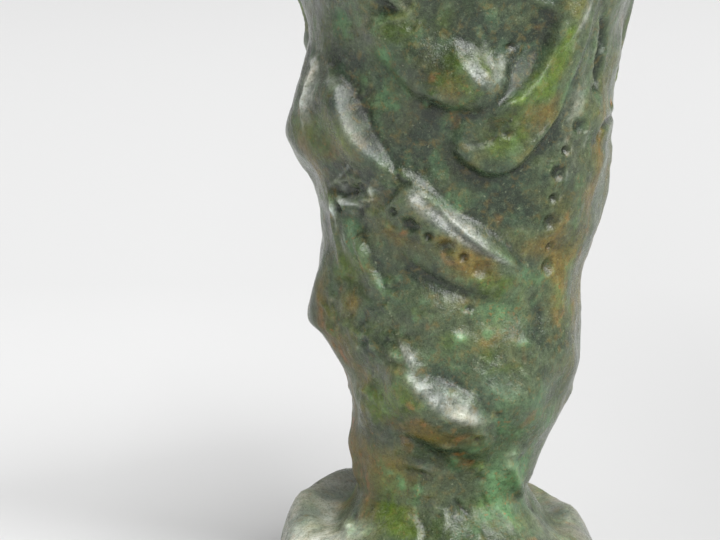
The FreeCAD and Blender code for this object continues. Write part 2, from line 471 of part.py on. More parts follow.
plugs = []
for angle, z in PLUGS:
    a = math.radians(angle)
    d = FreeCAD.Vector(math.sin(a), -math.cos(a), 0)
    pin = Part.makeCylinder(PLUG_R, 26, FreeCAD.Vector(d.x * 4, d.y * 4, z), d)
    plug = pin.common(stem)
    plugs.append(plug.Solids[0])
    stem = stem.cut(pin)

dowels = []
for sx in (-1, 1):
    dowels.append(cyl(DOWEL_R, DOWEL_Z, DOWEL_Z + DOWEL_LEN, sx * DOWEL_PCR, 0))
    stem = stem.cut(cyl(DOWEL_R, DOWEL_Z, STEM_TOP + 1, sx * DOWEL_PCR, 0))
stem = stem.Solids[0] if len(stem.Solids) == 1 else stem
save("drapery_stem", stem)
save("core_plugs", Part.makeCompound(plugs))
save("seat_dowels", Part.makeCompound(dowels))

# ---------------------------------------------------------------- seat plate
top = SEAT_Z + SEAT_T
seat = turned([(0, BOSS_Z), (BOSS_R - 0.5, BOSS_Z), (BOSS_R, BOSS_Z + 0.5), (BOSS_R, SEAT_Z - SPIGOT_L),
               (SPIGOT_R - 0.4, SEAT_Z - SPIGOT_L), (SPIGOT_R, SEAT_Z - SPIGOT_L + 0.4), (SPIGOT_R, SEAT_Z),
               (SEAT_R - 0.9, SEAT_Z), (SEAT_R - 0.25, SEAT_Z + 0.45), (SEAT_R, SEAT_Z + 1.3), (SEAT_R - 0.1, SEAT_Z + 2.1),
               (SEAT_R - 0.9, SEAT_Z + 2.7), (SEAT_R - 1.2, SEAT_Z + 3.4), (SEAT_R - 1.25, top - 0.4), (SEAT_R - 1.6, top), (0, top)])
seat = seat.cut(cyl(TAP_R, top - TAP_DEPTH, top + 1)).cut(cyl(ROD_HOLE_R, BOSS_Z - 1, BOSS_Z + ROD_HOLE_DEPTH))
for sx in (-1, 1):
    seat = seat.cut(cyl(DOWEL_R, SEAT_Z - 1, DOWEL_Z + DOWEL_LEN, sx * DOWEL_PCR, 0))
save("seat_plate", seat)

# ---------------------------------------------------------------- clamping stack in the foot
z = SHOULDER_Z
plate = turned([(PLATE_HOLE_R, z - PLATE_T), (PLATE_R - 0.3, z - PLATE_T), (PLATE_R, z - PLATE_T + 0.3), (PLATE_R, z),
                (PLATE_HOLE_R, z)])
save("bottom_plate", plate)
z -= PLATE_T
washer = cyl(WASHER_R, z - WASHER_T, z).cut(cyl(WASHER_HOLE_R, z - WASHER_T - 1, z + 1))
save("plain_washer", washer)
z -= WASHER_T
spring = cyl(SPRING_R, z - SPRING_T, z).cut(cyl(WASHER_HOLE_R, z - SPRING_T - 1, z + 1))
gap = Part.makeBox(3.0, 0.7, SPRING_T + 2, FreeCAD.Vector(1.5, -0.35, z - SPRING_T - 1))
save("spring_washer", spring.cut(gap))
z -= SPRING_T
corner = NUT_AF / math.sqrt(3)
hexagon = Part.makePolygon([FreeCAD.Vector(corner * math.cos(math.radians(60 * i)), corner * math.sin(math.radians(60 * i)), z - NUT_H)
                            for i in range(7)])
nut = Part.Face(hexagon).extrude(FreeCAD.Vector(0, 0, NUT_H))
chamfer = turned([(0, z - NUT_H), (NUT_AF / 2, z - NUT_H), (corner + 0.1, z - NUT_H + 0.45), (corner + 0.1, z - 0.45), (NUT_AF / 2, z), (0, z)])
nut = nut.common(chamfer).cut(cyl(NUT_HOLE_R, z - NUT_H - 1, z + 1))
save("tie_nut", nut)
print("nut lower face", z - NUT_H)

rod = turned([(0, ROD_LOW), (ROD_R - 0.4, ROD_LOW), (ROD_R, ROD_LOW + 0.4), (ROD_R, ROD_HIGH - 0.4), (ROD_R - 0.4, ROD_HIGH), (0, ROD_HIGH)])
save("tie_rod", rod)

# ---------------------------------------------------------------- felt under the foot
felt = cyl(FELT_OUT_R, 0, FELT_T).cut(cyl(FELT_IN_R, -1, FELT_T + 1))
save("base_felt", felt)
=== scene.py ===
import bpy
import math
import numpy as np
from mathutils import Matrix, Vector


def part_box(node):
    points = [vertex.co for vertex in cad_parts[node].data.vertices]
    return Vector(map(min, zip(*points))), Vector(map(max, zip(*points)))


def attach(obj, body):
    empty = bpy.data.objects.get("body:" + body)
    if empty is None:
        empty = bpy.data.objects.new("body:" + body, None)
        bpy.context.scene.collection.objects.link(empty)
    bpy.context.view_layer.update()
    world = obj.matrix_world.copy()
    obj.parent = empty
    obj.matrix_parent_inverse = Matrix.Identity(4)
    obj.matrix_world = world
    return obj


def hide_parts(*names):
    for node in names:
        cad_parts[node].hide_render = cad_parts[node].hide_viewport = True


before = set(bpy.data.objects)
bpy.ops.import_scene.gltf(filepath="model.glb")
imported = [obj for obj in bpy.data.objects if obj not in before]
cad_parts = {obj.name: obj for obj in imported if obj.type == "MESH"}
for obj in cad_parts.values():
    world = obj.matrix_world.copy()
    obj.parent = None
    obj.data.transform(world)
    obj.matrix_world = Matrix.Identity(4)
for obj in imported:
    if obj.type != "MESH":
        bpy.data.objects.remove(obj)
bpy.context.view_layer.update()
scene = bpy.context.scene
MM = 0.001

# =============================================================================== camera
ELEV = math.radians(10.0)
AIM = Vector((-0.011, 0.0, 0.04175))
DIST = 0.350
cam_data = bpy.data.cameras.new("camera")
cam_data.lens = 140.0
cam_data.sensor_width = 36.0
cam_data.clip_start = 0.01
cam_data.clip_end = 20.0
cam_data.dof.use_dof = False
cam = bpy.data.objects.new("camera", cam_data)
cam.location = AIM + Vector((0.0, -math.cos(ELEV), math.sin(ELEV))) * DIST
cam.rotation_euler = (math.pi / 2 - ELEV, 0.0, 0.0)
scene.collection.objects.link(cam)
scene.camera = cam

# =============================================================================== shape of the casting (mm)
RREF = 16.0
Z_NECK = 14.0
DZ = 2.5
T_NECK = 5.0
Z_TOP = 87.0
T_TOP = T_NECK + (Z_TOP - Z_NECK) / DZ
Q_FOOT = 4.0
EDGE_R, EDGE_Z = 20.4, 1.0
AROUND = 2 * math.pi * RREF

# smooth column: z, left x, right x, front depth, back depth
BASE = [
 (8.0, -12.2, 11.2, 10.8, 10.8),
 (14.0, -11.8, 10.7, 10.4, 10.4),
 (20.0, -12.2, 12.0, 11.9, 10.9),
 (26.0, -12.6, 14.6, 14.6, 12.2),
 (32.0, -14.4, 16.2, 15.5, 13.4),
 (38.0, -15.6, 16.7, 15.0, 14.2),
 (45.0, -16.2, 18.0, 14.8, 15.0),
 (52.0, -17.2, 19.8, 15.6, 15.8),
 (60.0, -18.6, 20.6, 16.4, 16.6),
 (68.0, -18.8, 21.3, 17.0, 17.4),
 (76.0, -18.8, 23.0, 17.8, 18.6),
 (82.0, -21.2, 23.5, 20.0, 20.6),
 (87.0, -24.0, 24.0, 22.5, 22.5),
 (92.0, -24.6, 24.6, 23.0, 23.0),
]
# outline at the two sides: z, left x, right x
SIDES = [
 (10.0, -11.9, 11.0), (12.0, -11.6, 10.2), (14.0, -11.33, 9.99), (16.1, -12.08, 10.72), (18.0, -11.96, 11.08),
 (20.5, -12.33, 12.25), (23.0, -11.96, 13.32), (25.5, -11.81, 14.33), (26.8, -12.07, 14.76), (29.3, -12.36, 15.83),
 (31.8, -14.06, 16.57), (34.2, -15.94, 16.73), (35.5, -17.1, 16.7), (36.8, -17.28, 16.57), (38.0, -17.18, 16.35),
 (40.5, -17.04, 16.18), (43.0, -16.24, 16.31), (45.5, -15.66, 17.24), (48.0, -15.89, 18.3), (50.5, -16.08, 18.6),
 (54.3, -17.06, 19.32), (56.8, -18.58, 19.86), (58.0, -19.12, 19.7), (59.3, -19.64, 19.95), (61.0, -19.67, 20.3),
 (63.0, -19.29, 20.22), (65.5, -18.64, 20.43), (70.5, -17.3, 21.19), (75.5, -17.89, 21.85), (80.0, -20.0, 23.1),
 (84.0, -22.6, 23.7), (87.0, -24.0, 24.0), (92.0, -24.6, 24.6),
]
# foot profile round the base: angle in degrees, then (r, z) of the edge, flank, crest and valley
FOOT = [
 (-180, 21.2, 3.0, 21.0, 7.0, 17.6, 11.8, 13.0, 10.6),
 (-135, 21.2, 3.2, 21.1, 7.6, 18.0, 12.9, 13.2, 11.2),
 (-108, 21.2, 3.2, 21.0, 7.8, 18.9, 12.0, 13.6, 10.6),
 (-92, 21.2, 3.0, 20.9, 7.0, 18.0, 9.6, 14.0, 9.6),
 (-75, 21.2, 2.8, 20.9, 6.2, 18.0, 8.7, 14.2, 10.3),
 (-45, 21.0, 2.6, 20.0, 5.8, 16.6, 8.3, 13.2, 10.6),
 (0, 21.0, 2.6, 19.6, 5.6, 16.0, 8.1, 12.5, 10.5),
 (45, 21.0, 2.6, 19.4, 5.2, 15.8, 7.8, 12.4, 10.3),
 (72, 21.0, 2.6, 19.6, 4.9, 15.7, 7.2, 12.6, 9.9),
 (92, 21.0, 2.6, 20.0, 4.8, 16.4, 8.2, 13.0, 9.4),
 (112, 21.0, 2.6, 20.4, 5.0, 17.2, 9.6, 13.2, 9.7),
 (140, 21.1, 2.8, 20.7, 5.8, 17.2, 11.0, 13.1, 10.3),
 (180, 21.2, 3.0, 21.0, 7.0, 17.6, 11.8, 13.0, 10.6),
]

FOLDS = [
  ('R', 3.4, 3.2, [(-10.36, 77.84, 0.5), (-9.8, 75.89, 0.8), (-8.23, 74.05, 1.0), (-6.42, 72.3, 1.2),
     (-4.66, 70.66, 1.3), (-2.97, 69.22, 1.4), (-1.53, 67.99, 1.4), (-0.47, 66.86, 1.2), (0.47, 65.94, 0.7),
     (1.1, 65.12, 0.1)]),
  ('R', 2.4, 0.9, [(-11.24, 78.05, 0.1), (-10.43, 74.97, 0.15), (-8.73, 71.79, 0.2), (-7.42, 70.05, 0.3),
     (-6.36, 68.81, 0.4), (-5.42, 67.58, 0.5), (-4.6, 66.56, 0.7), (-3.35, 65.73, 0.9), (-1.97, 65.22, 1.0),
     (-0.66, 64.71, 1.0), (0.59, 64.61, 0.85), (1.41, 65.12, 0.5), (1.97, 65.94, 0.05)]),
  ('F', 0.38, 1.5, [(-1.78, 71.99, 0.05), (-1.03, 70.87, 0.5), (-0.34, 69.84, 0.95), (0.34, 68.71, 1.3),
     (0.91, 67.79, 1.6), (1.47, 66.76, 1.6), (2.22, 65.53, 1.0), (2.91, 64.5, 0.1)]),
  ('R', 3.2, 0.7, [(9.05, 77.54, 0.5), (8.8, 76.31, 0.7), (8.67, 74.56, 0.9), (8.48, 72.71, 1.0),
     (8.17, 70.87, 1.1), (7.8, 69.12, 1.1), (7.23, 67.89, 1.1), (6.48, 66.86, 1.1), (5.35, 65.53, 1.0),
     (4.1, 64.61, 0.8), (3.04, 63.99, 0.5), (2.35, 63.07, 0.05)]),
  ('R', 0.8, 4.2, [(13.06, 77.74, 0.5), (12.05, 74.87, 0.7), (11.93, 73.12, 0.8), (11.55, 71.38, 0.9),
     (11.11, 69.02, 0.9), (10.43, 66.97, 0.9), (10.05, 65.32, 0.9), (9.61, 63.58, 0.9), (8.67, 62.14, 1.0),
     (7.92, 61.01, 1.1), (6.98, 59.78, 1.2), (6.1, 58.76, 1.3), (5.29, 57.73, 1.5), (4.35, 56.91, 1.6),
     (3.29, 56.6, 1.7), (2.35, 56.7, 1.7), (1.47, 57.32, 1.6), (0.66, 57.93, 1.5), (0.03, 58.76, 1.3),
     (-0.16, 59.68, 1.0), (0.09, 60.81, 0.7), (0.47, 62.04, 0.4), (0.91, 62.96, 0.05)]),
  ('C', 1.6, 1.4, [(11.11, 78.26, 0.4), (10.24, 76.72, 0.9), (9.55, 74.87, 1.0), (9.17, 72.92, 0.8),
     (8.92, 70.97, 0.3)]),
  ('F', 1.6, 2.6, [(-15.25, 68.3, 0.2), (-13.87, 67.27, 1.0), (-12.8, 65.73, 1.6), (-12.12, 64.09, 2.05),
     (-11.49, 62.45, 2.4), (-10.8, 60.91, 2.5), (-9.99, 59.47, 2.2), (-8.99, 58.14, 1.7), (-7.92, 56.81, 1.0),
     (-6.67, 55.57, 0.1)]),
  ('R', 1.0, 1.0, [(-11.24, 66.45, -0.1), (-10.24, 64.09, -0.3), (-9.42, 61.73, -0.35), (-8.55, 59.68, -0.3),
     (-7.42, 57.73, -0.1)]),
  ('F', 1.3, 3.0, [(-6.17, 54.86, 0.1), (-5.54, 54.14, 1.3), (-4.98, 53.11, 2.1), (-3.79, 51.47, 2.2),
     (-2.35, 50.03, 1.9), (-0.72, 48.7, 1.4), (0.66, 47.57, 1.1), (1.97, 46.85, 1.0), (3.35, 46.03, 1.0),
     (4.79, 45.41, 0.9), (6.54, 44.49, 0.6), (8.67, 43.26, 0.05)]),
  ('F', 1.0, 0.4, [(-6.54, 56.29, 0.05), (-5.67, 55.68, 0.4), (-4.48, 54.65, 0.55), (-3.22, 53.21, 0.6),
     (-1.97, 51.67, 0.65), (-0.59, 50.14, 1.0), (0.72, 48.8, 1.5), (2.16, 47.57, 1.5), (3.6, 46.75, 1.2),
     (5.29, 45.72, 0.8), (7.42, 44.29, 0.05)]),
  ('R', 2.8, 0.9, [(-9.8, 50.96, 0.1), (-8.05, 49.11, 0.3), (-6.29, 47.16, 0.45), (-4.29, 45.41, 0.6),
     (-2.1, 43.98, 0.65), (0.16, 42.85, 0.6), (2.41, 42.23, 0.55), (4.73, 41.82, 0.4), (7.61, 41.41, 0.05)]),
  ('R', 0.9, 1.0, [(-8.55, 48.39, -0.05), (-6.54, 46.13, -0.2), (-4.41, 44.29, -0.35), (-2.1, 42.85, -0.42),
     (0.28, 41.82, -0.38), (2.6, 41.21, -0.25), (5.04, 40.9, -0.05)]),
  ('F', 0.42, 2.6, [(-7.48, 36.28, 0.05), (-6.67, 35.25, 0.35), (-5.98, 34.23, 0.55), (-5.42, 33.3, 0.65),
     (-4.98, 32.18, 0.5), (-4.35, 31.15, 0.05)]),
  ('F', 0.8, 4.2, [(-8.67, 32.79, 0.1), (-7.42, 31.97, 0.6), (-6.23, 30.84, 1.2), (-4.85, 29.51, 1.7),
     (-3.29, 28.28, 2.1), (-1.53, 27.45, 2.3), (0.28, 26.84, 2.2), (2.03, 26.22, 1.6), (3.66, 25.91, 0.9),
     (5.35, 26.12, 0.1)]),
  ('R', 3.2, 3.0, [(1.91, 32.79, 0.05), (2.79, 30.84, 0.35), (4.23, 28.99, 0.6), (6.36, 27.56, 0.75),
     (8.73, 27.35, 0.6), (11.36, 27.97, 0.15)]),
  ('R', 2.6, 1.0, [(-16.81, 24.07, 0.05), (-12.49, 24.07, 0.1), (-9.05, 23.96, 0.2), (-6.29, 24.38, 0.25),
     (-4.6, 23.96, 0.3), (-3.29, 23.14, 0.3), (-1.72, 22.63, 0.3), (0.28, 22.73, 0.25), (1.78, 23.35, 0.05)]),
  ('R', 0.8, 0.9, [(-9.11, 23.04, -0.05), (-6.04, 23.25, -0.15), (-4.54, 22.84, -0.3), (-2.97, 21.81, -0.35),
     (-1.16, 21.5, -0.25), (0.78, 22.12, -0.1), (2.1, 22.43, -0.02)]),
  ('R', 0.8, 0.8, [(14.12, 75.07, -0.1), (15.43, 73.02, -0.8), (16.0, 71.17, -1.2), (15.87, 69.33, -1.3),
     (16.25, 67.48, -1.3), (16.56, 65.84, -0.9), (14.87, 64.71, -0.1)]),
  ('R', 0.55, 0.55, [(30.27, 61.22, -0.1), (19.19, 61.01, -0.8), (17.31, 60.09, -0.8), (17.13, 58.86, -0.1)]),
  ('R', 0.7, 0.7, [(-16.87, 53.11, 0.1), (-15.87, 51.57, 0.55), (-16.81, 49.31, 0.6), (-16.5, 46.95, 0.6),
     (-16.25, 44.9, 0.4), (-15.69, 43.46, 0.1)]),
  ('F', 1.5, 1.2, [(-13.43, 47.77, 0.1), (-11.93, 46.95, 1.1), (-11.3, 45.62, 1.3), (-10.8, 43.87, 1.1),
     (-9.61, 42.13, 0.7), (-8.48, 40.59, 0.1)]),
  ('R', 1.6, 1.2, [(10.68, 22.32, 0.1), (10.74, 20.37, 0.5), (11.18, 18.53, 0.6), (13.56, 15.96, 0.5),
     (17.38, 13.29, 0.4), (18.38, 11.34, 0.3), (19.07, 9.19, 0.1)]),
  ('R', 1.6, 1.6, [(-16.69, 19.96, 0.1), (-15.12, 17.81, 0.4), (-14.06, 15.55, 0.5), (-15.43, 12.78, 0.5),
     (-17.25, 10.52, 0.4), (-17.38, 8.26, 0.1)]),
  ('R', 1.8, 1.8, [(-1.35, 18.83, 0.1), (-0.34, 16.37, 0.4), (0.53, 14.01, 0.6), (-0.41, 11.24, 0.3)]),
]

LUMPS = [
  (6.54, 72.2, 4.2, 5.4, 25, -1.4),
  (3.48, 64.61, 3.4, 3.0, 0, 1.15),
  (-7.86, 76.2, 1.7, 1.5, 0, -0.9),
  (-15.81, 61.53, 4.0, 5.5, 0, 0.9),
  (-13.31, 53.32, 3.4, 2.4, 20, -0.25),
  (-3.16, 59.06, 6.0, 4.5, -20, -0.7),
  (4.04, 51.16, 6.0, 3.6, -20, -0.6),
  (-11.93, 49.11, 1.6, 1.6, 0, -0.5),
  (-14.68, 37.2, 5.0, 4.0, 0, 0.4),
  (-0.22, 35.97, 6.5, 4.5, -30, 0.22),
  (11.24, 38.54, 1.8, 3.6, 0, -0.5),
  (-7.61, 29.92, 3.2, 3.6, -25, 0.8),
  (1.66, 38.03, 1.4, 1.6, 0, -0.2),
  (16.19, 45.62, 3.0, 6.0, 0, 0.3),
  (1.85, 19.86, 3.0, 1.6, 0, -0.35),
  (-7.48, 18.42, 3.0, 2.4, 0, -0.35),
]

BACK_FOLDS = [
 # back tongue, right of centre at the back
 ('R', 0.9, 4.5, [(49.0, 82.0, 0.6), (47.5, 74.0, 1.2), (45.5, 67.0, 1.5), (42.0, 60.5, 1.9), (38.0, 57.0, 2.1),
     (34.0, 58.0, 2.0), (30.5, 62.5, 1.6), (28.5, 69.0, 1.1), (28.0, 77.0, 0.7)]),
 # back tongue, left
 ('R', 0.9, 4.2, [(-27.5, 80.0, 0.5), (-29.5, 73.0, 1.2), (-33.0, 68.0, 1.7), (-37.5, 65.5, 2.0),
     (-41.5, 67.5, 1.8), (-44.5, 73.0, 1.2), (-46.0, 80.0, 0.6)]),
 # long fold round the back, falling from the left flank to the right
 ('C', 2.8, 3.4, [(-22.5, 52.5, 0.3), (-27.0, 55.5, 0.9), (-32.0, 57.0, 1.4), (-38.0, 56.0, 1.8),
     (-44.0, 52.5, 2.0), (-50.0, 48.0, 2.0), (-56.0, 44.0, 1.7), (-62.0, 41.5, 1.2), (-67.0, 40.5, 0.5)]),
 ('R', 0.9, 0.9, [(-34.0, 50.5, -0.3), (-41.0, 47.5, -0.8), (-48.0, 43.5, -1.0), (-55.0, 39.5, -0.9),
     (-61.0, 37.0, -0.4)]),
 # second fold, lower
 ('C', 4.0, 2.2, [(44.0, 36.5, 0.3), (40.0, 33.5, 1.0), (35.5, 30.0, 1.6), (30.5, 27.5, 1.7), (26.0, 26.5, 1.1),
     (22.0, 27.5, 0.3)]),
 ('C', 2.2, 3.8, [(-48.0, 34.5, 0.3), (-43.5, 32.0, 1.0), (-38.0, 29.0, 1.5), (-32.5, 27.5, 1.5),
     (-27.5, 28.5, 0.8), (-24.0, 30.5, 0.2)]),
 ('R', 0.9, 0.9, [(45.0, 27.0, -0.3), (39.0, 24.5, -0.8), (33.0, 22.5, -0.9), (27.0, 23.0, -0.4)]),
 ('R', 0.9, 0.9, [(-46.0, 25.5, -0.2), (-40.0, 23.5, -0.7), (-34.0, 22.5, -0.9), (-28.0, 23.5, -0.3)]),
 # upright folds of the neck, behind
 ('R', 1.8, 1.5, [(31.0, 24.0, 0.2), (32.5, 19.0, 0.6), (34.5, 15.0, 0.6), (38.0, 11.0, 0.3)]),
 ('R', 1.6, 1.8, [(-33.0, 22.5, 0.2), (-35.0, 18.5, 0.6), (-37.5, 14.5, 0.6), (-41.0, 11.0, 0.3)]),
 ('R', 1.8, 1.8, [(49.0, 24.0, 0.2), (50.0, 19.0, 0.7), (50.5, 14.0, 0.6), (51.5, 10.0, 0.3)]),
 # right flank, upright crease behind the lettered strip of the front
 ('R', 1.2, 2.6, [(27.5, 66.0, 0.2), (27.0, 59.0, 0.8), (26.0, 52.0, 0.9), (25.5, 45.0, 0.6), (25.5, 39.0, 0.2)]),
 # tucks under the collar
 ('R', 1.4, 1.4, [(20.0, 85.0, -0.8), (19.0, 80.5, -0.9), (18.5, 77.5, -0.3)]),
 ('R', 1.4, 1.4, [(-20.5, 85.0, -0.8), (-20.0, 80.5, -0.8), (-19.0, 77.0, -0.2)]),
 ('R', 1.4, 1.4, [(0.5, 85.5, -0.9), (1.5, 82.0, -0.9), (2.0, 79.0, -0.3)]),
 ('R', 1.5, 1.5, [(36.0, 85.0, -0.8), (36.5, 80.5, -0.9), (37.0, 76.0, -0.3)]),
 ('R', 1.5, 1.5, [(-37.0, 85.0, -0.8), (-37.5, 80.5, -0.8), (-38.0, 77.0, -0.2)]),
]
BACK_LUMPS = [
 (38.0, 45.0, 6.0, 4.0, 20, -0.9), (-44.0, 62.0, 3.0, 2.5, 0, -0.5), (-30.0, 46.0, 5.0, 4.0, -15, 0.5),
 (40.0, 68.0, 4.0, 5.0, 0, 0.5), (47.0, 40.0, 5.0, 3.5, 0, 0.5), (-34.0, 38.0, 5.0, 3.5, 0, -0.6),
 (30.0, 34.0, 4.0, 3.0, 0, 0.4), (-44.0, 44.0, 3.5, 2.2, 0, -0.5), (27.0, 76.0, 3.0, 4.0, 0, 0.5),
 # mound of the foot
 (-46.0, 5.0, 4.0, 3.5, 0, 0.7), (-36.0, 2.0, 4.0, 3.0, 0, -0.5), (-28.0, 4.0, 3.5, 3.0, 0, 0.5),
 (44.0, 4.0, 4.5, 3.0, 0, 0.6), (34.0, 2.5, 3.5, 3.0, 0, -0.5), (24.0, 3.0, 3.5, 3.5, 0, 0.5),
 (10.0, 3.5, 3.5, 3.0, 0, 0.6), (0.0, 1.0, 4.0, 2.6, 0, -0.4), (-10.0, 3.5, 3.5, 3.0, 0, 0.5),
     (-18.0, 1.0, 3.0, 2.6, 0, -0.4), (17.0, 0.0, 3.0, 2.6, 0, -0.4),
]
# mean radius of the column over height, used to measure along the surface
GIRTH = [(-8.0, 20.5), (-2.0, 21.0), (2.0, 20.5), (6.0, 17.5), (10.0, 13.3), (14.0, 10.9), (20.0, 11.6),
     (26.0, 13.2), (32.0, 14.8), (38.0, 15.5), (45.0, 16.2), (52.0, 17.1), (60.0, 18.1), (68.0, 18.7),
     (76.0, 19.6), (82.0, 21.5), (87.0, 23.2), (92.0, 23.5)]
# slow undulation left by the wax tool: waves round, waves per mm up, phase, height
SWELL = [(3, 0.19, 0.4, 0.16), (5, -0.31, 1.9, 0.13), (7, 0.47, 3.1, 0.10), (9, -0.62, 0.7, 0.08),
     (4, 0.83, 2.2, 0.08), (11, 0.28, 5.0, 0.07), (2, -0.98, 4.1, 0.06)]

